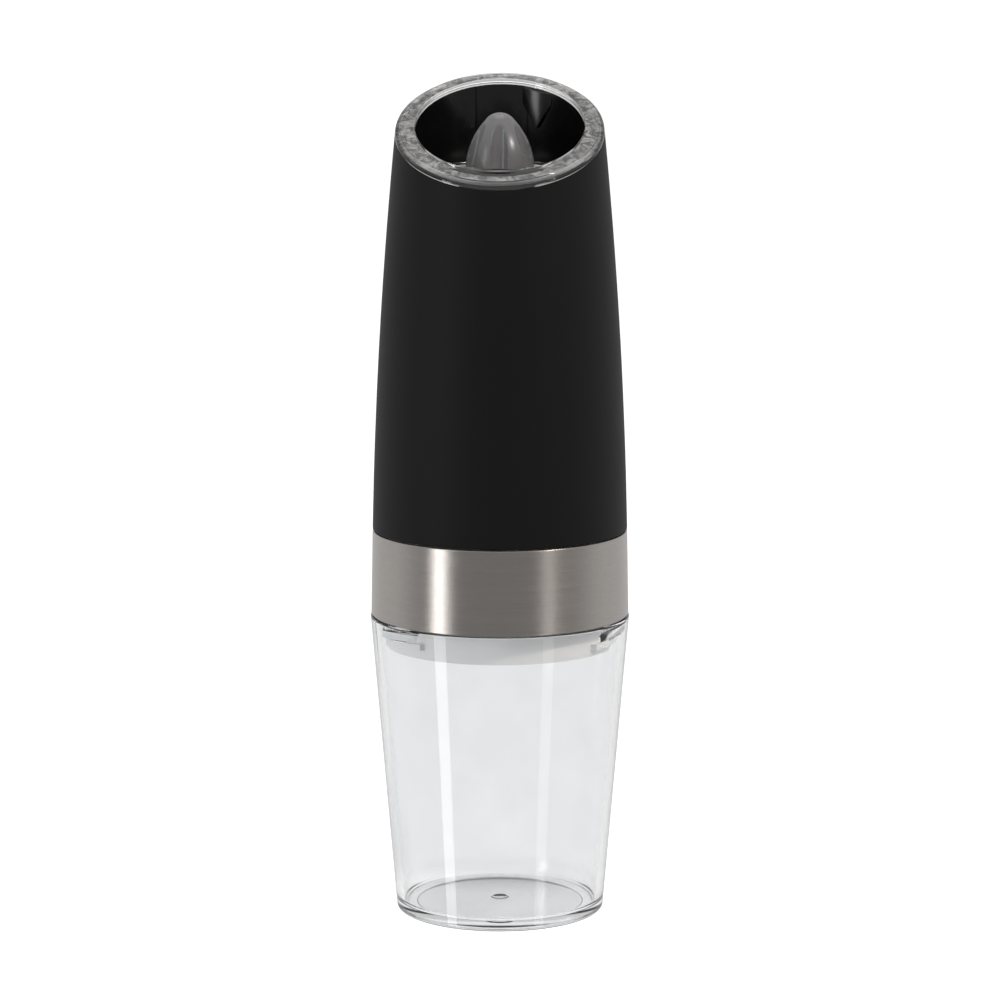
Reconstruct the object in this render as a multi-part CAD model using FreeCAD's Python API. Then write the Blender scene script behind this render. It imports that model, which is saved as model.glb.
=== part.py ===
import FreeCAD, Part
import math
import os
from FreeCAD import Vector

# A battery pepper mill that grinds when it is turned over. It stands on its clear pepper jar.
# Frame: +Z up, origin at the centre of the jar's foot, low side of the slanted mouth towards -Y.
# All sizes are in millimetres. Angles are in degrees, counted from +X towards +Y.

# ---------------------------------------------------------------- driving dimensions
jar_height = 74.0
jar_wall = 2.1
jar_floor = 2.4
jar_taper = 6.3                # how much narrower the foot is than the rim, on the radius
jar_belly = 0.27               # how far the jar's side bows out at half height
jar_foot_round = 1.0

cell_diameter = 10.5           # AAA cells
cell_length = 44.5
cell_nub_radius = 1.9
cell_nub_height = 0.8
cell_ring_radius = 20.0        # circle of the cells' centres
cell_step = 35.0               # angle between neighbours on one side
pocket_clearance = 0.25
core_margin = 0.95             # core outside the cells
deck_thickness = 3.0           # floor and roof of the cell pockets
contact_space = 4.5            # spring, plates and play at a cell's ends
plate_thickness = 0.4
contact_play = 0.1
contact_coil_radius = 3.0
contact_wire_radius = 0.3

motor_radius = 12.2
motor_clearance = 0.1
motor_wall = 1.0
motor_shaft_radius = 1.0
magnet_thickness = 1.7
air_gap = 0.4
board_radius = 11.6
board_thickness = 1.2
board_drop = 0.4               # board under the collar's top
terminal_length = 3.4          # from the board to the motor's end cap

gear_module = 0.4
sun_teeth = 18
planet_teeth = 18
ring_teeth = sun_teeth + 2 * planet_teeth
planet_count = 3
pressure_angle = 20.0
gear_thinning = 0.06           # taken off each tooth for backlash
gear_width = 4.6
gear_gap = 0.3                 # planet to carrier
carrier_thickness = 2.0
pin_radius = 0.95
pin_clearance = 0.06
gearbox_plate_thickness = 2.0
gearbox_cover_thickness = 2.0
gearbox_drop = 1.6             # gearbox's cover under the core's top
gearbox_wall = 1.9
gearbox_clearance = 0.4

shaft_radius = 3.0
shaft_hex = 5.0                # across flats
shaft_thread_radius = 2.0
socket_hex = 4.0
running_clearance = 0.06

chute_half_angle = 31.0        # of each pepper chute, about the Y axis
chute_inner_radius = 15.3
chute_outer_radius = 24.2

chamber_height = 22.0          # funnel between the core and the burrs
flange_thickness = 3.0
burr_radius = 12.3
burr_height = 10.4
burr_gap = 0.3                 # between the burrs, measured level
burr_slope = 25.0              # of the grinding faces, from the axis
fine_zone = 4.0                # height of the parallel grinding faces
rotor_radius = 9.2
rotor_grooves = 24
stator_grooves = 30
rotor_drop = 0.8               # rotor's face under the fixed burr's face
seat_wall = 1.7
spring_wire_radius = 0.4
spring_length = 5.0
spring_turns = 4
runs_per_turn = 12             # straight runs that draw one turn of any spring

burr_proud = 1.0               # fixed burr's face above the mouth's floor
mouth_rise = 11.5              # from the mouth's floor to the slanted rim, on the axis
mouth_tilt = 24.8
mouth_bore = 20.5
lip_width = 4.6
lip_thickness = 1.25
lip_skirt = 1.25               # how far the clear ring reaches down inside the casing
skirt_clearance = 0.1
guide_plate = 1.2              # flat light guide behind the liner
liner_wall = 1.2
floor_thickness = 2.0
panel_half_width = 6.4
panel_thickness = 0.7
panel_clearance = 0.08
guide_angle = 67.0             # pointed rib on the liner
guide_width = 7.0
guide_thickness = 0.5
guide_height = 9.5             # point of the rib above the mouth's floor

casing_wall = 1.8
casing_gap = 0.7               # casing to core
casing_flare = 2.45            # casing's foot is wider than the casing at the core's top
casing_seam = 0.3
spigot_height = 4.0
spigot_clearance = 0.35
band_height = 20.7
band_flare = 0.4
band_thickness = 0.5
band_seam = 0.3                # jar's rim to the band

neck_wall = 1.8
neck_depth = 7.2               # how far the neck reaches into the jar
neck_clearance = 0.6           # neck to the jar's ledges
ledge_reach = 1.5              # jar's ledges, inwards from its bore
ledge_height = 2.4
ledge_depth = 4.3              # ledge's lower end under the rim
ledge_angle = 40.0
ledge_start = 197.0
lug_height = 1.5
lug_angle = 28.0
lug_margin = 6.0               # lug's start behind the ledge's start
lug_clearance = 0.15
lug_engagement = 0.8
lug_count = 3
thread_lead = 12.0
gasket_height = 1.0
gasket_width = 2.2
gasket_clearance = 0.06

knob_radius = 8.3
knob_height = 13.0
knob_lift = 0.3                # knob's skirt above the fixed burr's face
knob_flutes = 6
flute_radius = 2.3
flute_depth = 1.0
insert_radius = 3.2
insert_height = 8.0

switch_radius = 2.6
switch_height = 7.2
switch_wall = 0.5
ball_radius = 1.5
ball_play = 0.1

screw_radius = 1.0
screw_head_radius = 1.9
screw_head_height = 1.4
screw_hole_clearance = 0.1
small_screw_radius = 0.7
small_head_radius = 1.1
wire_radius = 0.45
led_radius = 1.5

# ---------------------------------------------------------------- levels and radii that follow
band_bottom = jar_height + band_seam
band_top = band_bottom + band_height
core_bottom = band_top + 1.0
pocket_bottom = core_bottom + deck_thickness
pocket_top = pocket_bottom + cell_length + contact_space
core_top = pocket_top + deck_thickness
core_radius = cell_ring_radius + cell_diameter / 2 + core_margin
pocket_radius = cell_diameter / 2 + pocket_clearance

board_top = core_bottom - board_drop
motor_bottom = board_top + terminal_length
gear_stage_height = 3 * gear_gap + gear_width + carrier_thickness
gearbox_height = gearbox_plate_thickness + 2 * gear_stage_height + 2 * gear_gap + gearbox_cover_thickness
motor_top = core_top - gearbox_drop - gearbox_height

pitch_sun = gear_module * sun_teeth / 2
pitch_planet = gear_module * planet_teeth / 2
pitch_ring = gear_module * ring_teeth / 2
planet_orbit = pitch_sun + pitch_planet
addendum = 0.9 * gear_module
dedendum = 1.2 * gear_module
ring_outer = pitch_ring + dedendum + gearbox_wall
gearbox_bore = ring_outer + gearbox_clearance
plate_top = motor_top + gearbox_plate_thickness
planet_1_bottom = plate_top + 2 * gear_gap
planet_1_top = planet_1_bottom + gear_width
carrier_1_bottom = planet_1_top + gear_gap
carrier_1_top = carrier_1_bottom + carrier_thickness
planet_2_bottom = carrier_1_top + 2 * gear_gap
planet_2_top = planet_2_bottom + gear_width
carrier_2_bottom = planet_2_top + gear_gap
carrier_2_top = carrier_2_bottom + carrier_thickness
gearbox_top = carrier_2_top + 2 * gear_gap
cover_top = gearbox_top + gearbox_cover_thickness
output_top = cover_top + 1.4
output_radius = 4.0

burr_top = core_top + chamber_height + burr_height
burr_bottom = burr_top - burr_height
floor_top = burr_top - burr_proud
rotor_top = burr_top - rotor_drop
rotor_bottom = burr_bottom + 0.6
fine_bottom = rotor_top - fine_zone
slope = math.tan(math.radians(burr_slope))
rotor_fine_radius = rotor_radius - fine_zone * slope
knob_bottom = burr_top + knob_lift
knob_top = knob_bottom + knob_height
mouth_level = floor_top + mouth_rise
mouth_radius = mouth_bore + lip_width

casing_bottom = band_top + casing_seam
casing_core_radius = core_radius + casing_gap + casing_wall
casing_foot_radius = casing_core_radius + casing_flare
joint_radius = casing_foot_radius + band_flare
foot_radius = joint_radius - jar_taper
jar_bore = joint_radius - jar_wall

ledge_radius = jar_bore - ledge_reach
neck_radius = ledge_radius - neck_clearance
neck_bore = neck_radius - neck_wall
neck_bottom = jar_height - neck_depth
ledge_level = jar_height - ledge_depth
hub_radius = chute_inner_radius - 2.1
hub_bore = board_radius + 0.4

outer_cut = 200.0              # large enough to cut right through anything here


# ---------------------------------------------------------------- shape helpers
def cylinder(radius, low, high, x=0.0, y=0.0):
    return Part.makeCylinder(radius, high - low, Vector(x, y, low))


def ring(outer, inner, low, high, x=0.0, y=0.0):
    return cylinder(outer, low, high, x, y).cut(cylinder(inner, low - 1, high + 1, x, y))


def polar(radius, angle):
    turn = math.radians(angle)
    return radius * math.cos(turn), radius * math.sin(turn)


def turned(profile):
    """Revolve a closed outline of (r, z) points; a third and fourth number make an arc's end."""
    edges = []
    start = Vector(profile[0][0], 0, profile[0][1])
    first = start
    for point in profile[1:] + [profile[0][:2]]:
        end = Vector(point[-2], 0, point[-1])
        if len(point) == 4:
            middle = Vector(point[0], 0, point[1])
            edges.append(Part.Arc(start, middle, end).toShape())
        elif (end - start).Length > 1e-6:
            edges.append(Part.LineSegment(start, end).toShape())
        start = end
    assert (start - first).Length < 1e-6
    face = Part.Face(Part.Wire(edges))
    return face.revolve(Vector(0, 0, 0), Vector(0, 0, 1), 360)


def sector_wire(inner, outer, middle, half, level):
    corners = []
    for radius in (inner, outer):
        for angle in (middle - half, middle, middle + half):
            x, y = polar(radius, angle)
            corners.append(Vector(x, y, level))
    a, b, c, d, e, f = corners
    return Part.Wire([
        Part.Arc(a, b, c).toShape(),
        Part.LineSegment(c, f).toShape(),
        Part.Arc(f, e, d).toShape(),
        Part.LineSegment(d, a).toShape(),
    ])


def sector(inner, outer, middle, half, low, high):
    face = Part.Face(sector_wire(inner, outer, middle, half, low))
    return face.extrude(Vector(0, 0, high - low))


def hexagon(flats, low, high):
    corners = [Vector(*polar(flats / math.sqrt(3), 60 * k), low) for k in range(7)]
    return Part.Face(Part.makePolygon(corners)).extrude(Vector(0, 0, high - low))


def block(x, y, z, width, depth, height):
    """A box centred on x and y, standing on z."""
    return Part.makeBox(width, depth, height, Vector(x - width / 2, y - depth / 2, z))


def spun(shape, angle):
    """A copy turned about the mill's axis."""
    copy = shape.copy()
    copy.rotate(Vector(0, 0, 0), Vector(0, 0, 1), angle)
    return copy


def moved(shape, x=0.0, y=0.0, z=0.0):
    copy = shape.copy()
    copy.translate(Vector(x, y, z))
    return copy


def join(shapes):
    whole = shapes[0]
    if len(shapes) > 1:
        whole = whole.fuse(shapes[1:])
    return whole.removeSplitter()


def group(shapes):
    """Separate solids that share one node."""
    return Part.makeCompound([solid for shape in shapes for solid in shape.Solids])


def cut_all(shape, cutters):
    return shape.cut(Part.makeCompound(cutters))


def screw(x, y, head_bottom, length, radius, head_radius, head_height, up=False):
    """A pan-head screw with a cross recess; it points down unless up is true."""
    shank = cylinder(radius, head_bottom - length, head_bottom, x, y)
    head = cylinder(head_radius, head_bottom, head_bottom + head_height, x, y)
    recess = head_bottom + head_height * 0.4
    long, narrow = head_radius * 1.2, head_radius * 0.28
    cross = block(x, y, recess, long, narrow, head_height)
    cross = cross.fuse(block(x, y, recess, narrow, long, head_height))
    body = shank.fuse(head).cut(cross)
    if up:
        body.rotate(Vector(x, y, head_bottom), Vector(1, 0, 0), 180)
    return body


def side_curve(low_point, middle_point, high_point):
    """The circle through three (r, z) points, as a function that gives r at a height."""
    (r1, z1), (r2, z2), (r3, z3) = low_point, middle_point, high_point
    circle = Part.Arc(Vector(r1, 0, z1), Vector(r2, 0, z2), Vector(r3, 0, z3)).toShape().Curve
    centre, radius = circle.Center, circle.Radius
    return lambda z: centre.x + math.sqrt(radius ** 2 - (z - centre.z) ** 2)


def curved_post(curve, inset, low, high):
    """A solid post whose side follows a side curve, set in by inset."""
    middle = (low + high) / 2
    return turned([
        (0, low), (curve(low) - inset, low),
        (curve(middle) - inset, middle, curve(high) - inset, high), (0, high),
    ])


def above_mouth(depth):
    """Everything above the slanted mouth plane, moved down along its normal by depth."""
    level = mouth_level - depth / math.cos(math.radians(mouth_tilt))
    box = Part.makeBox(outer_cut, outer_cut, outer_cut, Vector(-outer_cut / 2, -outer_cut / 2, level))
    box.rotate(Vector(0, 0, level), Vector(1, 0, 0), mouth_tilt)
    return box


def helical_bar(inner, outer, height, level, start, angle):
    """A short stretch of thread: a rectangle that rises with the jar's lead."""
    rise = thread_lead * angle / 360
    spine = Part.makeHelix(thread_lead, rise, outer)
    corners = [
        Vector(inner, 0, 0), Vector(outer, 0, 0), Vector(outer, 0, height), Vector(inner, 0, height),
        Vector(inner, 0, 0),
    ]
    sweep = Part.BRepOffsetAPI.MakePipeShell(Part.Wire(spine.Edges))
    sweep.setFrenetMode(True)
    sweep.add(Part.makePolygon(corners))
    sweep.build()
    sweep.makeSolid()
    return moved(spun(sweep.shape(), start), z=level)


def coil(radius, wire, low, length, turns, x=0.0, y=0.0):
    """A compression spring: round wire in short straight runs; its centre line rises by length."""
    steps = int(turns * runs_per_turn)
    points = []
    for k in range(steps + 1):
        px, py = polar(radius, 360 * k / runs_per_turn)
        points.append(Vector(px, py, length * k / steps))
    spine = Part.makePolygon(points)
    section = Part.Wire(Part.makeCircle(wire, points[0], points[1] - points[0]))
    mitred = 1
    return moved(spine.makePipeShell([section], True, False, mitred), x, y, low)


def wire_route(points, radius):
    """A round wire along straight runs joined by tangent arcs."""
    points = [Vector(*p) for p in points]
    edges = []
    start = points[0]
    for before, corner, after in zip(points, points[1:], points[2:]):
        inward = (corner - before).normalize()
        outward = (after - corner).normalize()
        turn = inward.getAngle(outward)
        run = min((corner - before).Length, (after - corner).Length)
        reach = 0.45 * run
        bend = reach / math.tan(turn / 2)
        low = corner - inward * reach
        high = corner + outward * reach
        towards = (outward - inward).normalize()
        middle = corner + towards * (bend / math.cos(turn / 2) - bend)
        edges.append(Part.LineSegment(start, low).toShape())
        edges.append(Part.Arc(low, middle, high).toShape())
        start = high
    edges.append(Part.LineSegment(start, points[-1]).toShape())
    spine = Part.Wire(edges)
    section = Part.Wire(Part.makeCircle(radius, points[0], points[1] - points[0]))
    return spine.makePipeShell([section], True, False)


# ---------------------------------------------------------------- gears
def involute_angle(radius, base):
    """How far the involute has turned, in radians, when it reaches the radius."""
    grip = math.acos(min(1.0, base / radius))
    return math.tan(grip) - grip


def gear_outline(teeth, tip, root, thinning, low):
    """A closed involute outline; a tooth is centred on +X. Thinning below zero widens the teeth."""
    pitch = gear_module * teeth / 2
    base = pitch * math.cos(math.radians(pressure_angle))
    half_pitch_tooth = (math.pi * gear_module / 2 - thinning) / 2 / pitch
    at_pitch = involute_angle(pitch, base)
    start = max(root, base)

    def half_angle(radius):
        return half_pitch_tooth + at_pitch - involute_angle(radius, base)

    def at(radius, angle):
        return Vector(radius * math.cos(angle), radius * math.sin(angle), low)

    edges = []
    step = 2 * math.pi / teeth
    samples = [start + (tip - start) * k / 4 for k in range(5)]
    for k in range(teeth):
        middle = k * step
        rise = [at(r, middle - half_angle(r)) for r in samples]
        fall = [at(r, middle + half_angle(r)) for r in reversed(samples)]
        foot = at(root, middle - half_angle(start))
        if root < start - 1e-6:
            edges.append(Part.LineSegment(foot, rise[0]).toShape())
        edges.append(spline(rise))
        edges.append(Part.Arc(rise[-1], at(tip, middle), fall[0]).toShape())
        edges.append(spline(fall))
        heel = at(root, middle + half_angle(start))
        if root < start - 1e-6:
            edges.append(Part.LineSegment(fall[-1], heel).toShape())
        next_foot = at(root, middle + step - half_angle(start))
        edges.append(Part.Arc(heel, at(root, middle + step / 2), next_foot).toShape())
    return Part.Wire(edges)


def spline(points):
    curve = Part.BSplineCurve()
    curve.interpolate(points)
    return curve.toShape()


def spur_gear(teeth, low, high):
    pitch = gear_module * teeth / 2
    wire = gear_outline(teeth, pitch + addendum, pitch - dedendum, gear_thinning, low)
    return Part.Face(wire).extrude(Vector(0, 0, high - low))


def ring_gear_space(low, high):
    """The toothed hole of the ring gear, as a solid to cut away."""
    tip = pitch_ring + dedendum
    root = pitch_ring - addendum
    wire = gear_outline(ring_teeth, tip, root, -gear_thinning, low)
    space = Part.Face(wire).extrude(Vector(0, 0, high - low))
    gap_faces_out = planet_teeth % 2 == 0
    return spun(space, 180 / ring_teeth if gap_faces_out else 0)


# ---------------------------------------------------------------- side curves
jar_middle = jar_height / 2
jar_side = side_curve(
    (foot_radius, 0),
    ((foot_radius + joint_radius) / 2 + jar_belly, jar_middle),
    (joint_radius, jar_height),
)
casing_side = side_curve(
    (casing_foot_radius, casing_bottom),
    (casing_core_radius, core_top),
    (mouth_radius, mouth_level),
)
cell_angles = [side + k * cell_step for side in (0, 180) for k in (-1, 0, 1)]


# ---------------------------------------------------------------- jar and its joint
def make_jar():
    foot = jar_foot_round
    corner = foot * (1 - math.sqrt(0.5))
    outside = turned([
        (0, 0), (jar_side(foot) - foot, 0), (jar_side(foot) - corner, corner, jar_side(foot), foot),
        (jar_side(jar_middle), jar_middle, joint_radius, jar_height), (0, jar_height),
    ])
    inner_low = jar_side(jar_floor) - jar_wall
    inside = turned([
        (0, jar_floor), (inner_low - foot, jar_floor),
        (inner_low - corner, jar_floor + corner, jar_side(jar_floor + foot) - jar_wall, jar_floor + foot),
        (jar_side(jar_middle) - jar_wall, jar_middle, jar_bore, jar_height),
        (jar_bore, jar_height + 1), (0, jar_height + 1),
    ])
    dimple = cylinder(foot_radius * 0.8, -1, 0.5)
    jar = outside.cut(inside).cut(dimple)
    spread = 360 / lug_count
    ledges = [
        helical_bar(ledge_radius, jar_bore + 0.4, ledge_height, ledge_level, ledge_start + k * spread,
                    ledge_angle)
        for k in range(lug_count)
    ]
    return jar.fuse(ledges)


gasket_inner = jar_bore - 0.4 - gasket_width / 2
gasket_outer = gasket_inner + gasket_width


def make_jar_gasket():
    return ring(gasket_outer, gasket_inner, jar_height, jar_height + gasket_height)


def band_curve(z):
    return joint_radius - band_flare * (z - band_bottom) / band_height


def make_steel_band():
    low, high = band_curve(band_bottom), band_curve(band_top)
    edge = 0.2
    return turned([
        (low - band_thickness, band_bottom), (low - edge, band_bottom), (low, band_bottom + edge),
        (high, band_top - edge), (high - edge, band_top), (high - band_thickness, band_top),
    ])


flange_low = jar_height + gasket_height + gasket_clearance


def make_neck_ring():
    """The ring that reaches into the jar; its lugs run under the jar's ledges."""
    lug_top = ledge_level - lug_clearance
    lugs = [
        helical_bar(neck_radius - 0.4, ledge_radius + lug_engagement, lug_height,
                    lug_top - lug_height + thread_lead * lug_margin / 360,
                    ledge_start + lug_margin + k * 360 / lug_count, lug_angle)
        for k in range(lug_count)
    ]
    return ring(neck_radius, neck_bore, neck_bottom, flange_low).fuse(lugs).removeSplitter()


def make_base_collar():
    low, high = band_curve(flange_low) - band_thickness, band_curve(band_top) - band_thickness
    spigot = casing_foot_radius - casing_wall - spigot_clearance
    body = turned([
        (neck_bore, flange_low), (low, flange_low), (high, band_top), (spigot, band_top),
        (spigot, band_top + spigot_height),
        (core_radius + 0.1, band_top + spigot_height), (core_radius + 0.1, core_bottom),
        (0, core_bottom), (0, flange_low + 1.5), (neck_bore, flange_low + 1.5),
    ])
    skirt = ring(low, gasket_outer + gasket_clearance, band_bottom, flange_low)
    funnel_low = flange_low + 1.5
    cutters = []
    for middle in (90, 270):
        wide = sector_wire(hub_radius, neck_bore - 0.3, middle, 87, funnel_low - 1)
        narrow = sector_wire(chute_inner_radius, chute_outer_radius, middle, chute_half_angle,
                             core_bottom + 0.01)
        cutters.append(Part.makeLoft([wide, narrow], True, True))
    cutters.append(cylinder(hub_bore, funnel_low + 3, core_bottom + 1))
    for middle in (0, 180):
        cutters.append(sector(hub_radius + 1.6, bay_radius, middle, 39, core_bottom - 4.5, core_bottom + 1))
    slot_bottom = wire_level - wire_radius - 0.2
    for middle in lead_angles:
        cutters.append(sector(hub_bore - 1, lead_radius, middle, 3, slot_bottom, core_bottom + 1))
    cutters.append(sector(hub_bore - 1, hub_radius + 3, led_wire_entry, 5.5, slot_bottom, core_bottom + 1))
    cutters.append(ring(band_curve(band_top) - 2.2, core_radius + 0.8, funnel_low + 2, core_bottom - 2.5))
    channel_end = 34.0
    cutters.append(sector(bay_radius - 1.7, bay_radius + 0.8, (wire_angle + channel_end) / 2,
                          (wire_angle - channel_end) / 2 + 4, core_bottom - 2.6, core_bottom + 1))
    for x in (-cell_ring_radius, cell_ring_radius):
        cutters.append(cylinder(screw_radius + screw_hole_clearance, funnel_low, core_bottom + 1, x, 0))
        cutters.append(cylinder(screw_head_radius + 0.3, funnel_low - 1, collar_screw_level, x, 0))
    collar = cut_all(body.fuse(skirt), cutters)
    posts = [
        ring(3.6, screw_radius + screw_hole_clearance, collar_screw_level, core_bottom, x, 0)
        for x in (-cell_ring_radius, cell_ring_radius)
    ]
    return collar.fuse(posts).removeSplitter()


collar_screw_level = core_bottom - 7.0
bay_radius = core_radius - 0.7
wire_angle = 54.5                                  # groove for the lamp's wires
wire_level = board_top - board_thickness - wire_radius - 0.05
lead_angles = (35, 145)                            # cells at the ends of the series
led_wire_entry = 15.0


def make_collar_screws():
    length = core_bottom + deck_thickness - 0.4 - collar_screw_level
    return group([
        screw(x, 0, collar_screw_level, length, screw_radius, screw_head_radius, screw_head_height, up=True)
        for x in (-cell_ring_radius, cell_ring_radius)
    ])


# ---------------------------------------------------------------- core, cells and contacts
def cell_end(k, at_top):
    """True where the end of cell k has the nub. Cells face alternate ways along the series."""
    nub_up = k % 2 == 0
    return nub_up == at_top


def bridge_plates(grow):
    """Contact plates at both ends of the pockets; grow leaves room round them in the core."""
    thickness = plate_thickness + grow
    top_low, bottom_high = pocket_top - thickness, pocket_bottom + thickness
    inner, outer = cell_ring_radius - 3.2, cell_ring_radius + 3.2
    strip = core_radius - 1.1
    top = []
    for first, last in ((145, 180), (0, 35)):
        middle = (first + last) / 2
        top.append(sector(inner - grow, outer + grow, middle, cell_step / 2 + 7, top_low, pocket_top))
    pads = [sector(inner - grow, strip + 0.8, angle, 7, top_low, pocket_top) for angle in (215, -35)]
    long_strip = sector(strip, strip + 0.8, 270, 57, top_low, pocket_top)
    top.append(join([long_strip] + pads))
    bottom = []
    for first, last in ((180, 215), (-35, 0)):
        middle = (first + last) / 2
        bottom.append(sector(
            inner - grow, outer + grow, middle, cell_step / 2 + 7, pocket_bottom, bottom_high))
    for angle in lead_angles:
        bottom.append(sector(inner - grow, outer + grow, angle, 7, pocket_bottom, bottom_high))
    return top + bottom


def make_core_body():
    body = cylinder(core_radius, core_bottom, core_top)
    cutters = [cylinder(motor_radius + motor_clearance, core_bottom - 1, motor_top)]
    cutters.append(cylinder(gearbox_bore, motor_top, core_top + 1))
    for angle in cell_angles:
        x, y = polar(cell_ring_radius, angle)
        pocket = cylinder(pocket_radius, pocket_bottom, pocket_top, x, y)
        mouth = spun(block(cell_ring_radius + 5, 0, pocket_bottom, 10, 2 * pocket_radius,
                           pocket_top - pocket_bottom), angle)
        cutters += [pocket, mouth]
    for middle in (90, 270):
        cutters.append(sector(chute_inner_radius, chute_outer_radius, middle, chute_half_angle,
                              core_bottom - 1, core_top + 1))
    cutters += bridge_plates(0.05)
    for angle in (wire_angle, -wire_angle, 180 - wire_angle, 180 + wire_angle):
        x, y = polar(boss_radius, angle)
        cutters.append(cylinder(screw_radius - 0.15, core_top - 9, core_top + 1, x, y))
    for x in (-cell_ring_radius, cell_ring_radius):
        cutters.append(cylinder(screw_radius, core_bottom - 1, pocket_bottom - 0.3, x, 0))
    groove = spun(block(core_radius, 0, core_bottom - 1, 2.6, 2.4, core_top - core_bottom + 2), wire_angle)
    cutters.append(groove)
    for angle in lead_angles:
        x, y = polar(lead_radius, angle)
        cutters.append(cylinder(wire_radius + 0.15, core_bottom - 1, pocket_bottom + 1, x, y))
    return cut_all(body, cutters)


boss_radius = 22.9
lead_radius = cell_ring_radius - 2.2


def make_cell(k):
    x, y = polar(cell_ring_radius, cell_angles[k])
    spring_space = contact_space - 2 * plate_thickness - 2 * contact_play
    low = pocket_bottom + plate_thickness + contact_play
    nub_up = cell_end(k, True)
    if nub_up:
        low += spring_space
    radius = cell_diameter / 2
    body_length = cell_length - cell_nub_height
    shape = turned([
        (0, 0), (radius - 0.4, 0), (radius, 0.4), (radius, body_length - 0.5),
        (radius - 0.5, body_length), (cell_nub_radius, body_length), (cell_nub_radius, cell_length),
        (0, cell_length),
    ])
    if not nub_up:
        shape.rotate(Vector(0, 0, cell_length / 2), Vector(1, 0, 0), 180)
    return moved(shape, x, y, low)


def make_contact_springs():
    springs = []
    space = contact_space - 2 * plate_thickness - 2 * contact_play
    reach = space - 2 * contact_wire_radius
    for k, angle in enumerate(cell_angles):
        x, y = polar(cell_ring_radius, angle)
        if cell_end(k, True):
            low = pocket_bottom + plate_thickness + contact_wire_radius + contact_play / 2
        else:
            low = pocket_top - plate_thickness - contact_wire_radius - contact_play / 2 - reach
        springs.append(coil(contact_coil_radius, contact_wire_radius, low, reach, 3, x, y))
    return group(springs)


def make_contact_plates():
    return group(bridge_plates(0))


def make_battery_leads():
    leads = []
    for angle in lead_angles:
        x, y = polar(lead_radius, angle)
        a, b = polar(board_radius - 2.5, angle)
        route = [(x, y, pocket_bottom), (x, y, wire_level), (a, b, wire_level)]
        leads.append(wire_route(route, wire_radius))
    return group(leads)


# ---------------------------------------------------------------- board, switch and lamp
def make_board():
    low = board_top - board_thickness
    board = cylinder(board_radius, low, board_top)
    holes = [cylinder(0.6, low - 1, board_top + 1, x, 0) for x in (-terminal_offset, terminal_offset)]
    return cut_all(board, holes)


terminal_offset = 7.0


def make_board_parts():
    low = board_top - board_thickness
    transistor = block(0, 7.2, low - 1.6, 4.6, 3.8, 1.6)
    tab = block(0, 9.6, low - 0.9, 3.6, 1.0, 0.9)
    capacitor = cylinder(2.0, low - 5.0, low, 6.0, -3.6)
    chips = [block(5.6, -8.0, low - 0.7, 2.0, 1.2, 0.7), block(2.4, -8.0, low - 0.7, 2.0, 1.2, 0.7),
             block(-5.0, -5.0, low - 1.2, 3.8, 3.0, 1.2)]
    return group([join([transistor, tab]), capacitor] + chips)


def make_tilt_switch():
    top = board_top - board_thickness
    bottom = top - switch_height
    can = cylinder(switch_radius, bottom, top)
    hollow = cylinder(switch_radius - switch_wall, bottom + switch_wall, top - switch_wall)
    return can.cut(hollow)


def make_tilt_ball():
    bottom = board_top - board_thickness - switch_height + switch_wall
    return Part.makeSphere(ball_radius, Vector(0, 0, bottom + ball_radius + ball_play))


shelf_level = burr_bottom - 1.6
led_distance = mouth_bore + liner_wall + 0.7
led_top = floor_top - floor_thickness - 2.6


def make_led():
    base = shelf_level + 1.0
    board = block(0, led_distance - 1.4, shelf_level, 7.0, 4.8, 0.9)
    flange = cylinder(led_radius + 0.25, shelf_level + 0.9, base + 0.9, 0, led_distance)
    body = cylinder(led_radius, base + 0.9, led_top - led_radius, 0, led_distance)
    dome = Part.makeSphere(led_radius, Vector(0, led_distance, led_top - led_radius))
    return group([board, join([flange, body, dome])])


def make_led_wires():
    wires = []
    groove_radius = core_radius - 0.65
    half_gap = wire_radius + 0.1
    flange = core_top + flange_thickness
    # where the pair turns off sideways, one wire passes under the other
    for side, drop in ((-half_gap, 0), (half_gap, 2 * half_gap + 0.05)):
        foot = core_bottom - 0.7 - drop
        def at(radius, angle, level):
            x, y = polar(radius, angle + math.degrees(side / radius))
            return x, y, level
        lamp = led_distance - 1.4
        wires.append(wire_route([
            (-0.5 - side, lamp, shelf_level), (-0.5 - side, lamp, shelf_level - 4.4 - drop),
            at(groove_radius - 0.6, 74, flange + 9.5 - drop),
            at(groove_radius, wire_angle, flange + 5.5 - drop),
            at(groove_radius, wire_angle, foot), at(groove_radius - 0.1, wire_angle - 5.5, foot),
            at(bay_radius - 0.9, 35, foot - 0.1),
            at(hub_radius + 2.6 - side / 2, led_wire_entry, wire_level),
            at(board_radius - 2.5, led_wire_entry, wire_level),
        ], wire_radius))
    return group(wires)


# ---------------------------------------------------------------- motor
can_bottom = motor_bottom + 1.6


def make_motor_can():
    outside = cylinder(motor_radius, can_bottom, motor_top)
    inside = cylinder(motor_radius - motor_wall, can_bottom - 1, motor_top - motor_wall)
    holes = [cylinder(1.0, motor_top - motor_wall - 1, motor_top + 1, x, 0) for x in (-8.5, 8.5)]
    holes.append(cylinder(motor_shaft_radius + 0.05, motor_top - 3, motor_top + 3))
    return cut_all(outside, [inside] + holes)


def make_motor_end_cap():
    disc = cylinder(motor_radius, motor_bottom, can_bottom)
    plug = ring(motor_radius - motor_wall, motor_radius - motor_wall - 1.4, can_bottom, can_bottom + 3)
    slots = [block(x, 0, motor_bottom - 1, 0.9, 3.4, 4) for x in (-terminal_offset, terminal_offset)]
    bore = cylinder(motor_shaft_radius + 0.05, motor_bottom - 1, can_bottom + 1)
    return cut_all(join([disc, plug]), slots + [bore])


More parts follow.
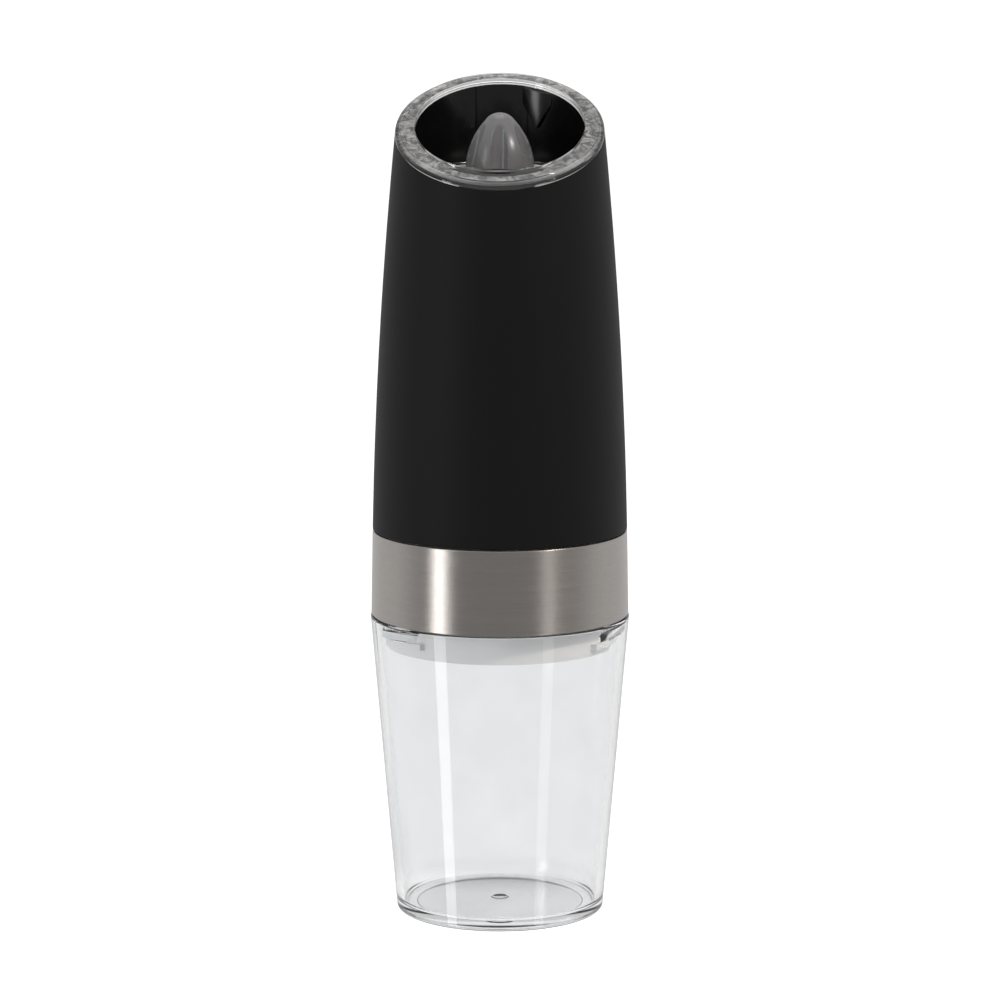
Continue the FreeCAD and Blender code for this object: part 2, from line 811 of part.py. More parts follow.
def make_brush_terminals():
    tabs = []
    for side in (-1, 1):
        x = side * terminal_offset
        tab = block(x, 0, board_top, 0.5, 3.0, can_bottom + 2.2 - board_top)
        arm_width = terminal_offset - commutator_radius - 0.08
        arm_place = side * (commutator_radius + 0.08 + arm_width / 2)
        arm = block(arm_place, 0, can_bottom + 1.6, arm_width, 2.0, 0.6)
        tabs.append(join([tab, arm]))
    return group(tabs)


commutator_radius = 2.8
armature_radius = motor_radius - motor_wall - magnet_thickness - air_gap
armature_bottom = can_bottom + 7.5
armature_top = motor_top - 5.5


def make_motor_magnets():
    outer = motor_radius - motor_wall
    return group([
        sector(outer - magnet_thickness, outer, middle, 62, armature_bottom - 1.5, armature_top + 1.5)
        for middle in (90, 270)
    ])


def make_armature_stack():
    core = cylinder(armature_radius, armature_bottom, armature_top)
    cutters = [cylinder(motor_shaft_radius, armature_bottom - 1, armature_top + 1)]
    for k in range(3):
        middle = 60 + 120 * k
        cutters.append(sector(
            3.2, armature_radius - 1.4, middle, 38, armature_bottom - 1, armature_top + 1))
        cutters.append(spun(block(armature_radius, 0, armature_bottom - 1, 4, 1.6,
                                  armature_top - armature_bottom + 2), middle))
    return cut_all(core, cutters)


def make_armature_windings():
    coils = []
    for k in range(3):
        middle = 60 + 120 * k
        coils.append(sector(
            3.4, armature_radius - 1.6, middle, 33, armature_bottom - 1.6, armature_top + 1.6))
    return group(coils)


def make_commutator():
    body = ring(commutator_radius, motor_shaft_radius, can_bottom + 0.6, can_bottom + 4.2)
    flange = ring(commutator_radius + 0.8, motor_shaft_radius, can_bottom + 4.2, can_bottom + 5.0)
    slots = [
        spun(block(commutator_radius, 0, can_bottom, 1.2, 0.35, 6), 120 * k) for k in range(3)
    ]
    return cut_all(join([body, flange]), slots)


def make_motor_shaft():
    return cylinder(motor_shaft_radius, motor_bottom + 0.2, planet_1_top)


def make_sun_gear():
    gear = spur_gear(sun_teeth, planet_1_bottom, planet_1_top)
    return gear.cut(cylinder(motor_shaft_radius, planet_1_bottom - 1, planet_1_top + 1))


def make_motor_screws():
    return group([
        screw(x, 0, plate_top - 1.1, 3.4, 0.95, 1.8, 1.1) for x in (-8.5, 8.5)
    ])


# ---------------------------------------------------------------- gearbox
def make_gearbox_plate():
    plate = cylinder(ring_outer, motor_top, plate_top)
    cutters = [cylinder(pitch_sun + addendum + 0.8, motor_top - 1, plate_top + 1)]
    for x in (-8.5, 8.5):
        cutters.append(cylinder(1.05, motor_top - 1, plate_top + 1, x, 0))
        cutters.append(cylinder(2.0, plate_top - 1.1, plate_top + 1, x, 0))
    for x, y in gearbox_screw_places:
        cutters.append(cylinder(small_screw_radius, motor_top + 0.3, plate_top + 1, x, y))
    return cut_all(plate, cutters)


gearbox_screw_places = [polar(ring_outer - 0.95, 30 + 120 * k) for k in range(3)]


def make_ring_gear_housing():
    body = cylinder(ring_outer, plate_top, gearbox_top)
    cutters = [ring_gear_space(plate_top - 1, gearbox_top + 1)]
    for x, y in gearbox_screw_places:
        cutters.append(cylinder(small_screw_radius, plate_top - 1, gearbox_top + 1, x, y))
    return cut_all(body, cutters)


def make_gearbox_cover():
    body = cylinder(ring_outer, gearbox_top, cover_top)
    cutters = [cylinder(output_radius + running_clearance, gearbox_top - 1, cover_top + 1)]
    for x, y in gearbox_screw_places:
        cutters.append(cylinder(small_screw_radius, gearbox_top - 1, cover_top + 1, x, y))
    return cut_all(body, cutters)


def make_gearbox_screws():
    length = cover_top - motor_top - 0.5
    return group([
        screw(x, y, cover_top, length, small_screw_radius, small_head_radius, 0.8)
        for x, y in gearbox_screw_places
    ])


def planet_place(k):
    return polar(planet_orbit, 360 / planet_count * k)


def make_planet(k, low, high):
    """A planet is turned so that its gaps meet the sun's teeth on the line between their centres."""
    gear = spur_gear(planet_teeth, low, high).cut(cylinder(pin_radius + pin_clearance, low - 1, high + 1))
    place = 360 / planet_count * k
    sun_phase = place % (360 / sun_teeth)
    facing = place + 180
    gap_facing = 360 / planet_teeth / 2
    gear = spun(gear, facing + gap_facing + sun_phase * sun_teeth / planet_teeth)
    x, y = polar(planet_orbit, place)
    return moved(gear, x, y)


def make_carrier(low, high, hub):
    plate = cylinder(planet_orbit + 2.2, low, high)
    holes = [cylinder(pin_radius, low - 1, high + 1, *planet_place(k)) for k in range(planet_count)]
    return join([plate, hub]).cut(Part.makeCompound(holes))


def make_carrier_1():
    return make_carrier(carrier_1_bottom, carrier_1_top, spur_gear(sun_teeth, carrier_1_top, planet_2_top))


def make_carrier_2():
    boss = cylinder(output_radius, carrier_2_top, output_top)
    carrier = make_carrier(carrier_2_bottom, carrier_2_top, boss)
    return carrier.cut(hexagon(socket_hex, carrier_2_top - 0.5, output_top + 1))


def make_carrier_pins(planet_low, carrier_high):
    return group([
        cylinder(pin_radius, planet_low - 0.1, carrier_high, *planet_place(k)) for k in range(planet_count)
    ])


# ---------------------------------------------------------------- shaft, chamber and burrs
bush_bottom = output_top + 0.2
bush_top = core_top + flange_thickness + 4.0
seal_top = bush_top + 1.6
spring_seat = burr_bottom - 2.6
hex_bottom = seal_top + 1.0
thread_bottom = rotor_top - 1.0
thread_top = knob_bottom + insert_height - 0.5


def make_drive_shaft():
    tongue = hexagon(socket_hex, carrier_2_top - 0.5, output_top)
    journal = cylinder(shaft_radius, output_top, hex_bottom)
    hex_part = hexagon(shaft_hex, hex_bottom, thread_bottom)
    thread = cylinder(shaft_thread_radius, thread_bottom, thread_top)
    seat = cylinder(5.2, spring_seat - 1.2, spring_seat)
    return join([tongue, journal, hex_part, thread, seat])


def make_output_bush():
    return ring(5.0, shaft_radius + running_clearance, bush_bottom + 0.4, bush_top)


def make_shaft_seal():
    lip = running_clearance
    return turned([
        (shaft_radius + lip, bush_top), (6.0, bush_top), (6.0, seal_top - 0.5),
        (shaft_radius + 0.8, seal_top - 0.5), (shaft_radius + lip, seal_top),
    ])


def make_chamber():
    low, flange = core_top, core_top + flange_thickness
    seat_outer = burr_radius + seat_wall
    seat_low = burr_bottom - 1.6
    outside = turned([
        (0, low), (core_radius, low), (core_radius, flange + 0.4), (seat_outer + 0.6, seat_low),
        (seat_outer, seat_low + 2.0), (seat_outer, floor_top - 0.2), (0, floor_top - 0.2),
    ])
    inside = turned([
        (7.0, flange), (chute_outer_radius + 0.2, flange), (burr_radius - 1.5, seat_low),
        (burr_radius - 1.5, burr_bottom), (burr_radius, burr_bottom), (burr_radius, floor_top + 1),
        (0, floor_top + 1), (0, seal_top - 1.6), (7.0, seal_top - 1.6),
    ])
    shell = outside.cut(inside)
    bosses = []
    cutters = []
    for angle in (wire_angle, -wire_angle, 180 - wire_angle, 180 + wire_angle):
        x, y = polar(boss_radius, angle)
        bosses.append(cylinder(3.2, low, flange + 7, x, y).common(outside))
        cutters.append(cylinder(screw_radius + screw_hole_clearance, low - 1, flange + 9, x, y))
        cutters.append(cylinder(screw_head_radius + 0.25, flange, flange + 9, x, y))
    groove = spun(block(core_radius, 0, low - 1, 2.6, 2.4, flange_thickness + 6), wire_angle)
    cutters.append(groove)
    for middle in (90, 270):
        cutters.append(sector(chute_inner_radius, chute_outer_radius, middle, chute_half_angle,
                              low - 1, flange + 0.01))
    cutters.append(cylinder(output_radius + 0.4, low - 1, bush_bottom + 0.4))
    cutters.append(cylinder(gearbox_bore, low - 1, cover_top + 0.9))
    cutters.append(cylinder(5.0, bush_bottom, bush_top))
    cutters.append(cylinder(6.0, bush_top, seal_top))
    shelf_middle = (led_distance + seat_outer) / 2 + 0.6
    shelf = block(0, shelf_middle, shelf_level - 1.2, 8.0, led_distance - seat_outer + 2.0, 1.2)
    shelf = shelf.fuse(block(0, seat_outer + 1.2, shelf_level - 3.4, 1.6, 3.2, 2.4))
    shelf = shelf.cut(cylinder(seat_outer - 0.4, shelf_level - 6, shelf_level + 1))
    shelf = shelf.cut(block(-0.5, led_distance - 1.4, shelf_level - 4, 2.6, 1.4, 5))
    return cut_all(shell.fuse(bosses), cutters).fuse(shelf).removeSplitter()


def make_chamber_screws():
    flange = core_top + flange_thickness
    return group([
        screw(*polar(boss_radius, angle), flange, flange_thickness + 5.5, screw_radius - 0.15,
              screw_head_radius, screw_head_height)
        for angle in (wire_angle, -wire_angle, 180 - wire_angle, 180 + wire_angle)
    ])


def cone_grooves(low, low_radius, high, high_radius, count, depth, twist):
    """V grooves down a cone, as prisms to cut away; low and high are levels on the cone's face."""
    start = Vector(low_radius, 0, low)
    top_x, top_y = polar(high_radius, twist)
    end = Vector(top_x, top_y, high)
    along = end - start
    length = along.Length
    width = 2 * math.pi * min(low_radius, high_radius) / count * 0.36
    corners = [Vector(depth, 0, -1), Vector(-0.6 * depth, -width, -1), Vector(-0.6 * depth, width, -1)]
    profile = Part.makePolygon(corners + corners[:1])
    prism = Part.Face(profile).extrude(Vector(0, 0, length + 2))
    turn = FreeCAD.Rotation(Vector(0, 0, 1), along)
    prism.Placement = FreeCAD.Placement(start, turn)
    return [spun(prism, 360 / count * k) for k in range(count)]


def make_outer_burr():
    rim = rotor_radius + burr_gap
    throat = rotor_fine_radius + burr_gap
    body = turned([
        (rim + 0.3, burr_top), (rim, rotor_top), (throat, fine_bottom), (burr_radius - 1.7, burr_bottom),
        (burr_radius, burr_bottom), (burr_radius, burr_top - 0.4), (burr_radius - 0.4, burr_top),
    ])
    fine = cone_grooves(fine_bottom, throat, rotor_top, rim, stator_grooves, 0.35, 8)
    feed = cone_grooves(burr_bottom, burr_radius - 1.7, fine_bottom, throat, stator_grooves // 3, 0.8, -14)
    return cut_all(body, fine + feed)


def make_inner_burr():
    body = turned([
        (0, rotor_bottom), (4.9, rotor_bottom), (rotor_fine_radius, fine_bottom), (rotor_radius, rotor_top),
        (6.2, rotor_top), (6.2, burr_top + knob_lift - 0.3), (0, burr_top + knob_lift - 0.3),
    ])
    hole = hexagon(shaft_hex + 2 * running_clearance, rotor_bottom - 1, burr_top + 1)
    spring_room = cylinder(4.3, rotor_bottom - 1, rotor_bottom + rotor_spring_room)
    fine = cone_grooves(fine_bottom, rotor_fine_radius, rotor_top, rotor_radius, rotor_grooves, -0.35, -8)
    feed = cone_grooves(rotor_bottom, 4.9, fine_bottom, rotor_fine_radius, rotor_grooves // 3, -0.9, 20)
    return cut_all(body, [hole, spring_room] + fine + feed)


rotor_spring_room = spring_seat + spring_length + 0.1 - rotor_bottom


def make_burr_spring():
    radius = 4.2 - spring_wire_radius
    low = spring_seat + spring_wire_radius + 0.05
    return coil(radius, spring_wire_radius, low, spring_length - 2 * spring_wire_radius - 0.1, spring_turns)


# ---------------------------------------------------------------- knob
def make_knob():
    half_way = knob_bottom + 0.47 * knob_height
    tip_radius, tip_height = 0.43 * knob_radius, 0.14 * knob_height
    ball = (tip_radius ** 2 + tip_height ** 2) / (2 * tip_height)
    tip_middle = math.asin(tip_radius / ball) / 2
    dome = turned([
        (0, knob_bottom), (knob_radius, knob_bottom),
        (0.825 * knob_radius, half_way, tip_radius, knob_top - tip_height),
        (ball * math.sin(tip_middle), knob_top - ball * (1 - math.cos(tip_middle)), 0, knob_top),
    ])
    flutes = []
    for k in range(knob_flutes):
        low = Vector(knob_radius + flute_radius - flute_depth, 0, knob_bottom - 2)
        high = Vector(0.78 * knob_radius + flute_radius, 0, knob_bottom + 0.7 * knob_height)
        cutter = Part.makeCylinder(flute_radius, (high - low).Length, low, high - low)
        flutes.append(spun(cutter, 360 / knob_flutes * k + 30))
    hollow = cylinder(insert_radius, knob_bottom - 1, knob_bottom + insert_height + 0.6)
    return cut_all(dome, flutes + [hollow])


def make_knob_insert():
    low = knob_bottom
    return ring(insert_radius, shaft_thread_radius + running_clearance, low, low + insert_height)


# ---------------------------------------------------------------- casing, liner and light ring
def casing_space():
    """The room inside the casing."""
    return curved_post(casing_side, casing_wall, casing_bottom - 1, mouth_level + 20)


def make_casing():
    outside = curved_post(casing_side, 0, casing_bottom, mouth_level + 20)
    return outside.cut(casing_space()).cut(above_mouth(lip_thickness))


def make_light_ring():
    whole = curved_post(casing_side, 0, casing_bottom, mouth_level + 20)
    plate = whole.common(above_mouth(lip_thickness)).cut(above_mouth(0))
    room = curved_post(casing_side, casing_wall + skirt_clearance, casing_bottom - 1, mouth_level + 20)
    skirt = room.common(above_mouth(lip_thickness + lip_skirt)).cut(above_mouth(lip_thickness - 0.01))
    bore = cylinder(mouth_bore, casing_bottom, mouth_level + 40)
    leg = leg_space(0).common(room).cut(above_mouth(lip_thickness))
    return join([plate, skirt]).cut(bore).fuse(leg).removeSplitter()


def leg_space(grow):
    """The flat light guide that runs from the lamp up to the ring."""
    inner = mouth_bore + liner_wall + 0.05
    strip = ring(inner + guide_plate + grow, inner - grow, led_top + 0.4 - grow, mouth_level + 20)
    return strip.common(block(0, inner, casing_bottom, 2 * (panel_half_width + grow), 8, outer_cut))


def make_mouth_liner():
    wall_low = floor_top - floor_thickness - 2.4
    wall = ring(mouth_bore + liner_wall, mouth_bore, wall_low, mouth_level + 20)
    floor = cylinder(mouth_bore + 0.5, floor_top - floor_thickness, floor_top)
    flange = ring(outer_cut, mouth_bore, wall_low, wall_low + 1.6).common(casing_space())
    body = join([wall, floor, flange])
    cutters = [above_mouth(lip_thickness + lip_skirt)]
    cutters.append(cylinder(burr_radius + seat_wall + 0.2, wall_low - 1, floor_top + 1))
    cutters.append(leg_space(0.1))
    cutters.append(panel_space(panel_clearance, 0.05))
    liner = cut_all(body, cutters)
    core_hole = cylinder(mouth_bore, casing_bottom, floor_top - floor_thickness)
    ledge = liner.cut(core_hole)
    rib = guide_rib().cut(panel_space(panel_clearance, 0.05))
    return join([ledge, rib])


def panel_space(side_grow, face_grow):
    low = floor_top
    strip = ring(mouth_bore + panel_thickness + face_grow, mouth_bore - 1, low, mouth_level + 20)
    return strip.common(block(0, mouth_bore, low, 2 * (panel_half_width + side_grow), 10, outer_cut))


def make_back_panel():
    strip = ring(mouth_bore + panel_thickness, mouth_bore, floor_top, mouth_level + 20)
    panel = strip.common(block(0, mouth_bore, floor_top, 2 * panel_half_width, 10, outer_cut))
    return panel.cut(above_mouth(lip_thickness + lip_skirt))


def guide_rib():
    """A shallow pointed rib on the liner's wall."""
    point = floor_top + guide_height
    shoulder = point + guide_width * 0.75
    half = guide_width / 2
    corners = [
        Vector(10, 0, point), Vector(10, half, shoulder), Vector(10, half, mouth_level + 20),
        Vector(10, -half, mouth_level + 20), Vector(10, -half, shoulder), Vector(10, 0, point),
    ]
    prism = Part.Face(Part.makePolygon(corners)).extrude(Vector(20, 0, 0))
    prism = spun(prism, guide_angle)
    shell = ring(mouth_bore + 0.3, mouth_bore - guide_thickness, floor_top, mouth_level + 20)
    return prism.common(shell).cut(above_mouth(lip_thickness + lip_skirt))


# ---------------------------------------------------------------- all nodes
nodes = {
    "jar": make_jar(),
    "jar_gasket": make_jar_gasket(),
    "neck_ring": make_neck_ring(),
    "base_collar": make_base_collar(),
    "steel_band": make_steel_band(),
    "collar_screws": make_collar_screws(),
    "core_body": make_core_body(),
    "contact_springs": make_contact_springs(),
    "contact_plates": make_contact_plates(),
    "battery_leads": make_battery_leads(),
    "circuit_board": make_board(),
    "board_components": make_board_parts(),
    "tilt_switch": make_tilt_switch(),
    "tilt_ball": make_tilt_ball(),
    "led": make_led(),
    "led_wires": make_led_wires(),
    "motor_can": make_motor_can(),
    "motor_end_cap": make_motor_end_cap(),
    "brush_terminals": make_brush_terminals(),
    "motor_magnets": make_motor_magnets(),
    "armature_stack": make_armature_stack(),
    "armature_windings": make_armature_windings(),
    "commutator": make_commutator(),
    "motor_shaft": make_motor_shaft(),
    "sun_gear": make_sun_gear(),
    "motor_screws": make_motor_screws(),
    "gearbox_plate": make_gearbox_plate(),
    "ring_gear_housing": make_ring_gear_housing(),
    "gearbox_cover": make_gearbox_cover(),
    "gearbox_screws": make_gearbox_screws(),
    "carrier_1": make_carrier_1(),
    "carrier_1_pins": make_carrier_pins(planet_1_bottom, carrier_1_top),
    "carrier_2": make_carrier_2(),
    "carrier_2_pins": make_carrier_pins(planet_2_bottom, carrier_2_top),
    "drive_shaft": make_drive_shaft(),
    "output_bush": make_output_bush(),
    "shaft_seal": make_shaft_seal(),
    "grinding_chamber": make_chamber(),
    "chamber_screws": make_chamber_screws(),
    "outer_burr": make_outer_burr(),
    "inner_burr": make_inner_burr(),
    "burr_spring": make_burr_spring(),
    "adjusting_knob": make_knob(),
    "knob_insert": make_knob_insert(),
    "casing": make_casing(),
    "mouth_liner": make_mouth_liner(),
    "back_panel": make_back_panel(),
    "light_ring": make_light_ring(),
}
for k in range(len(cell_angles)):
    nodes[f"battery_{k + 1}"] = make_cell(k)
for k in range(planet_count):
    nodes[f"first_planet_{k + 1}"] = make_planet(k, planet_1_bottom, planet_1_top)
    nodes[f"second_planet_{k + 1}"] = make_planet(k, planet_2_bottom, planet_2_top)

os.makedirs("parts", exist_ok=True)
for name, shape in nodes.items():
    if not shape.isValid():
        print("not valid:", name)
    shape.exportStep(f"parts/{name}.step")
    box = shape.BoundBox
    print(f"{name}: {len(shape.Solids)} solids, {shape.Volume:.1f} mm3, z {box.ZMin:.2f} to {box.ZMax:.2f}")
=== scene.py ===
import math

import bmesh
import bpy
from mathutils import Matrix, Vector
from mathutils.bvhtree import BVHTree


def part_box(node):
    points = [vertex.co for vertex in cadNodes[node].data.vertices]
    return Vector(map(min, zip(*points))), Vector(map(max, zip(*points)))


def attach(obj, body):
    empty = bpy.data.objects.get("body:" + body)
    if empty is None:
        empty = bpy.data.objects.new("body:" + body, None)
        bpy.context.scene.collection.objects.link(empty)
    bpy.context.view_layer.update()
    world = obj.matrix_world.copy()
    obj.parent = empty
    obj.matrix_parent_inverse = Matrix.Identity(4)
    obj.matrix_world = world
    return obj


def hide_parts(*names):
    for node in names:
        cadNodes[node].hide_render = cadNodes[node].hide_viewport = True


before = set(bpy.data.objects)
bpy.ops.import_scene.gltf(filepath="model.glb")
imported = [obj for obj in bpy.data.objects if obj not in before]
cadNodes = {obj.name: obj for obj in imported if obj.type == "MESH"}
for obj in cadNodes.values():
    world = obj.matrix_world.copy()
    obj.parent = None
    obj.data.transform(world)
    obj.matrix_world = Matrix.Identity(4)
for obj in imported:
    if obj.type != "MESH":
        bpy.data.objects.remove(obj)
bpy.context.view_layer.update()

mm = 0.001
cutDistance = 0.0001 * mm        # how near a cut counts as on a vertex
millSurfaces = {}


# camera, light and floor
cameraLook = {
    "place": (0.0264, -1.0074, 0.2753),
    "pitch": -9.754,             # degrees below the horizon
    "pan": 1.5,
    "lens": 150.6,
    "sensor": 36.0,
}
lightLook = {
    "backdrop": 1.0,             # white that the camera sees behind the mill
    "roomBehind": 0.80,          # light from behind, from above and from the camera's side
    "roomAbove": 0.75,
    "roomFront": 0.36,
    "frontToBack": (-0.55, 0.35),    # where the room's light changes between them
    "sideToAbove": (0.35, 0.9),
    "mainAngle": -54.0,          # degrees round from the camera, seen from above
    "mainSize": (0.20, 1.60),
    "mainPower": 4.0,
    "mainHeight": 0.02,
    "sideAngle": 46.0,           # this strip shines up from below the floor's edge
    "sideSize": (0.20, 0.85),
    "sidePower": 0.8,
    "sideHeight": -0.48,
    "distance": 1.0,             # of the lamps round the mill from its axis
    "aim": (0, 0, 0.11),
    "topPlace": (0, 0.25, 1.15),
    "topSize": (0.7, 0.7),
    "topPower": 2.0,
    "keyAngle": 58.0,            # small hard lamp, high on the right
    "keyHeight": 0.95,
    "keySize": (0.09, 0.09),
    "keyPower": 4.5,
    "keyColour": (1.0, 0.93, 0.85),
    "floorRadius": 6.0,
    "floorSteps": 96,
    "floorRoughness": 0.9,
    "floorColour": 0.60,
    "floorGlow": 0.75,           # keeps the floor white around the mill
    "floorGlowThroughGlass": 0.42,
}


def makeCamera():
    camera = bpy.data.cameras.new("photoCamera")
    camera.lens = cameraLook["lens"]
    camera.sensor_width = cameraLook["sensor"]
    camera.clip_start = 0.01
    cameraObject = bpy.data.objects.new("photoCamera", camera)
    cameraObject.location = cameraLook["place"]
    cameraObject.rotation_euler = (
        math.radians(90 + cameraLook["pitch"]), 0, math.radians(cameraLook["pan"]))
    bpy.context.scene.collection.objects.link(cameraObject)
    bpy.context.scene.camera = cameraObject


def lampPlace(angle, height):
    turn = math.radians(angle)
    distance = lightLook["distance"]
    return distance * math.sin(turn), -distance * math.cos(turn), height


def softBox(name, place, size, power):
    lamp = bpy.data.lights.new(name, "AREA")
    lamp.shape = "RECTANGLE"
    lamp.size, lamp.size_y = size
    lamp.energy = power
    holder = bpy.data.objects.new(name, lamp)
    holder.location = place
    aim = Vector(lightLook["aim"]) - holder.location
    holder.rotation_euler = aim.to_track_quat("-Z", "Y").to_euler()
    bpy.context.scene.collection.objects.link(holder)
    return holder


def makeStudio():
    world = bpy.data.worlds.new("studioRoom")
    world.use_nodes = True
    bpy.context.scene.world = world
    tree = world.node_tree
    tree.nodes.clear()
    direction = tree.nodes.new("ShaderNodeTexCoord")
    parts = tree.nodes.new("ShaderNodeSeparateXYZ")
    backToFront = tree.nodes.new("ShaderNodeMapRange")
    backToFront.interpolation_type = "SMOOTHSTEP"
    backToFront.inputs["From Min"].default_value = lightLook["frontToBack"][0]
    backToFront.inputs["From Max"].default_value = lightLook["frontToBack"][1]
    backToFront.inputs["To Min"].default_value = lightLook["roomFront"]
    backToFront.inputs["To Max"].default_value = lightLook["roomBehind"]
    upwards = tree.nodes.new("ShaderNodeMapRange")
    upwards.interpolation_type = "SMOOTHSTEP"
    upwards.inputs["From Min"].default_value = lightLook["sideToAbove"][0]
    upwards.inputs["From Max"].default_value = lightLook["sideToAbove"][1]
    blend = tree.nodes.new("ShaderNodeMix")
    blend.inputs["B"].default_value = lightLook["roomAbove"]
    path = tree.nodes.new("ShaderNodeLightPath")
    seen = tree.nodes.new("ShaderNodeMix")
    seen.inputs["B"].default_value = lightLook["backdrop"]
    background = tree.nodes.new("ShaderNodeBackground")
    output = tree.nodes.new("ShaderNodeOutputWorld")
    link = tree.links.new
    link(direction.outputs["Generated"], parts.inputs[0])
    link(parts.outputs["Y"], backToFront.inputs["Value"])
    link(parts.outputs["Z"], upwards.inputs["Value"])
    link(upwards.outputs["Result"], blend.inputs["Factor"])
    link(backToFront.outputs["Result"], blend.inputs["A"])
    link(path.outputs["Is Camera Ray"], seen.inputs["Factor"])
    link(blend.outputs["Result"], seen.inputs["A"])
    link(seen.outputs["Result"], background.inputs["Strength"])
    link(background.outputs["Background"], output.inputs["Surface"])

    key = softBox("keyLamp", lampPlace(lightLook["keyAngle"], lightLook["keyHeight"]),
                  lightLook["keySize"], lightLook["keyPower"])
    key.data.color = lightLook["keyColour"]
    softBox("mainStrip", lampPlace(lightLook["mainAngle"], lightLook["mainHeight"]),
            lightLook["mainSize"], lightLook["mainPower"])
    softBox("sideStrip", lampPlace(lightLook["sideAngle"], lightLook["sideHeight"]),
            lightLook["sideSize"], lightLook["sidePower"])
    softBox("topPanel", lightLook["topPlace"], lightLook["topSize"], lightLook["topPower"])
    bpy.context.scene.view_settings.view_transform = "Standard"


def makeFloor():
    shape = bmesh.new()
    bmesh.ops.create_circle(shape, cap_ends=True, segments=lightLook["floorSteps"],
                            radius=lightLook["floorRadius"])
    mesh = bpy.data.meshes.new("studioFloor")
    shape.to_mesh(mesh)
    shape.free()
    floor = bpy.data.objects.new("studioFloor", mesh)
    bpy.context.scene.collection.objects.link(floor)
    paper = bpy.data.materials.new("floorPaper")
    paper.use_nodes = True
    tree = paper.node_tree
    shader = tree.nodes["Principled BSDF"]
    grey = lightLook["floorColour"]
    shader.inputs["Base Color"].default_value = (grey, grey, grey, 1)
    shader.inputs["Roughness"].default_value = lightLook["floorRoughness"]
    shader.inputs["Specular IOR Level"].default_value = 0.0
    shader.inputs["Emission Color"].default_value = (1, 1, 1, 1)
    path = tree.nodes.new("ShaderNodeLightPath")
    straight = tree.nodes.new("ShaderNodeMath")
    straight.operation = "MULTIPLY"
    straight.inputs[1].default_value = lightLook["floorGlow"]
    bent = tree.nodes.new("ShaderNodeMath")
    bent.operation = "MULTIPLY_ADD"
    bent.inputs[1].default_value = lightLook["floorGlowThroughGlass"]
    tree.links.new(path.outputs["Is Camera Ray"], straight.inputs[0])
    tree.links.new(path.outputs["Is Transmission Ray"], bent.inputs[0])
    tree.links.new(straight.outputs[0], bent.inputs[2])
    tree.links.new(bent.outputs[0], shader.inputs["Emission Strength"])
    mesh.materials.append(paper)
    floor.visible_glossy = False     # the strips reach below it in reflections


makeCamera()
makeStudio()
makeFloor()
print("camera, light and floor made")


# shader node groups
def startGroup(name, inputs, outputs):
    group = bpy.data.node_groups.new(name, "ShaderNodeTree")
    for label, kind, value in inputs:
        socket = group.interface.new_socket(label, in_out="INPUT", socket_type=kind)
        if value is not None:
            socket.default_value = value
    for label, kind in outputs:
        group.interface.new_socket(label, in_out="OUTPUT", socket_type=kind)
    return group, group.nodes.new("NodeGroupInput"), group.nodes.new("NodeGroupOutput")


def scaledCoordinates(group, source, scale):
    # the same coordinates stretched by one number
    stretch = group.nodes.new("ShaderNodeVectorMath")
    stretch.operation = "SCALE"
    group.links.new(source.outputs["Vector"], stretch.inputs[0])
    group.links.new(source.outputs[scale], stretch.inputs["Scale"])
    return stretch.outputs[0]


def noiseNode(group, coordinates, detail, roughness):
    noise = group.nodes.new("ShaderNodeTexNoise")
    noise.inputs["Scale"].default_value = 1.0
    noise.inputs["Detail"].default_value = detail
    noise.inputs["Roughness"].default_value = roughness
    group.links.new(coordinates, noise.inputs["Vector"])
    return noise


def centredRange(group, value, middle, spread):
    # turns a 0..1 pattern into middle plus or minus spread
    centre = group.nodes.new("ShaderNodeMath")
    centre.operation = "SUBTRACT"
    centre.inputs[1].default_value = 0.5
    widen = group.nodes.new("ShaderNodeMath")
    widen.operation = "MULTIPLY"
    lift = group.nodes.new("ShaderNodeMath")
    lift.operation = "ADD"
    lift.use_clamp = True
    group.links.new(value, centre.inputs[0])
    group.links.new(centre.outputs[0], widen.inputs[0])
    group.links.new(spread, widen.inputs[1])
    group.links.new(widen.outputs[0], lift.inputs[0])
    group.links.new(middle, lift.inputs[1])
    return lift.outputs[0]


def shadeColour(group, colour, value, strength):
    # makes a colour a little darker and lighter by a pattern
    amount = group.nodes.new("ShaderNodeMapRange")
    low = group.nodes.new("ShaderNodeMath")
    low.operation = "SUBTRACT"
    low.inputs[0].default_value = 1.0
    high = group.nodes.new("ShaderNodeMath")
    high.operation = "ADD"
    high.inputs[0].default_value = 1.0
    mix = group.nodes.new("ShaderNodeVectorMath")
    mix.operation = "SCALE"
    group.links.new(strength, low.inputs[1])
    group.links.new(strength, high.inputs[1])
    group.links.new(value, amount.inputs["Value"])
    group.links.new(low.outputs[0], amount.inputs["To Min"])
    group.links.new(high.outputs[0], amount.inputs["To Max"])
    group.links.new(colour, mix.inputs[0])
    group.links.new(amount.outputs["Result"], mix.inputs["Scale"])
    return mix.outputs[0]


surfaceOutputs = [
    ("Colour", "NodeSocketColor"), ("Roughness", "NodeSocketFloat"), ("Height", "NodeSocketFloat")]
patternLook = {
    "grain": (2.0, 0.5),             # detail and roughness of each noise
    "marks": (5.0, 0.6),
    "lines": (3.0, 0.65),
    "bands": (3.0, 0.6),
    "lineStretch": (320.0, 320.0, 5200.0),
    "bandStretch": (40.0, 40.0, 1500.0),
    "bandShare": 0.35,
}


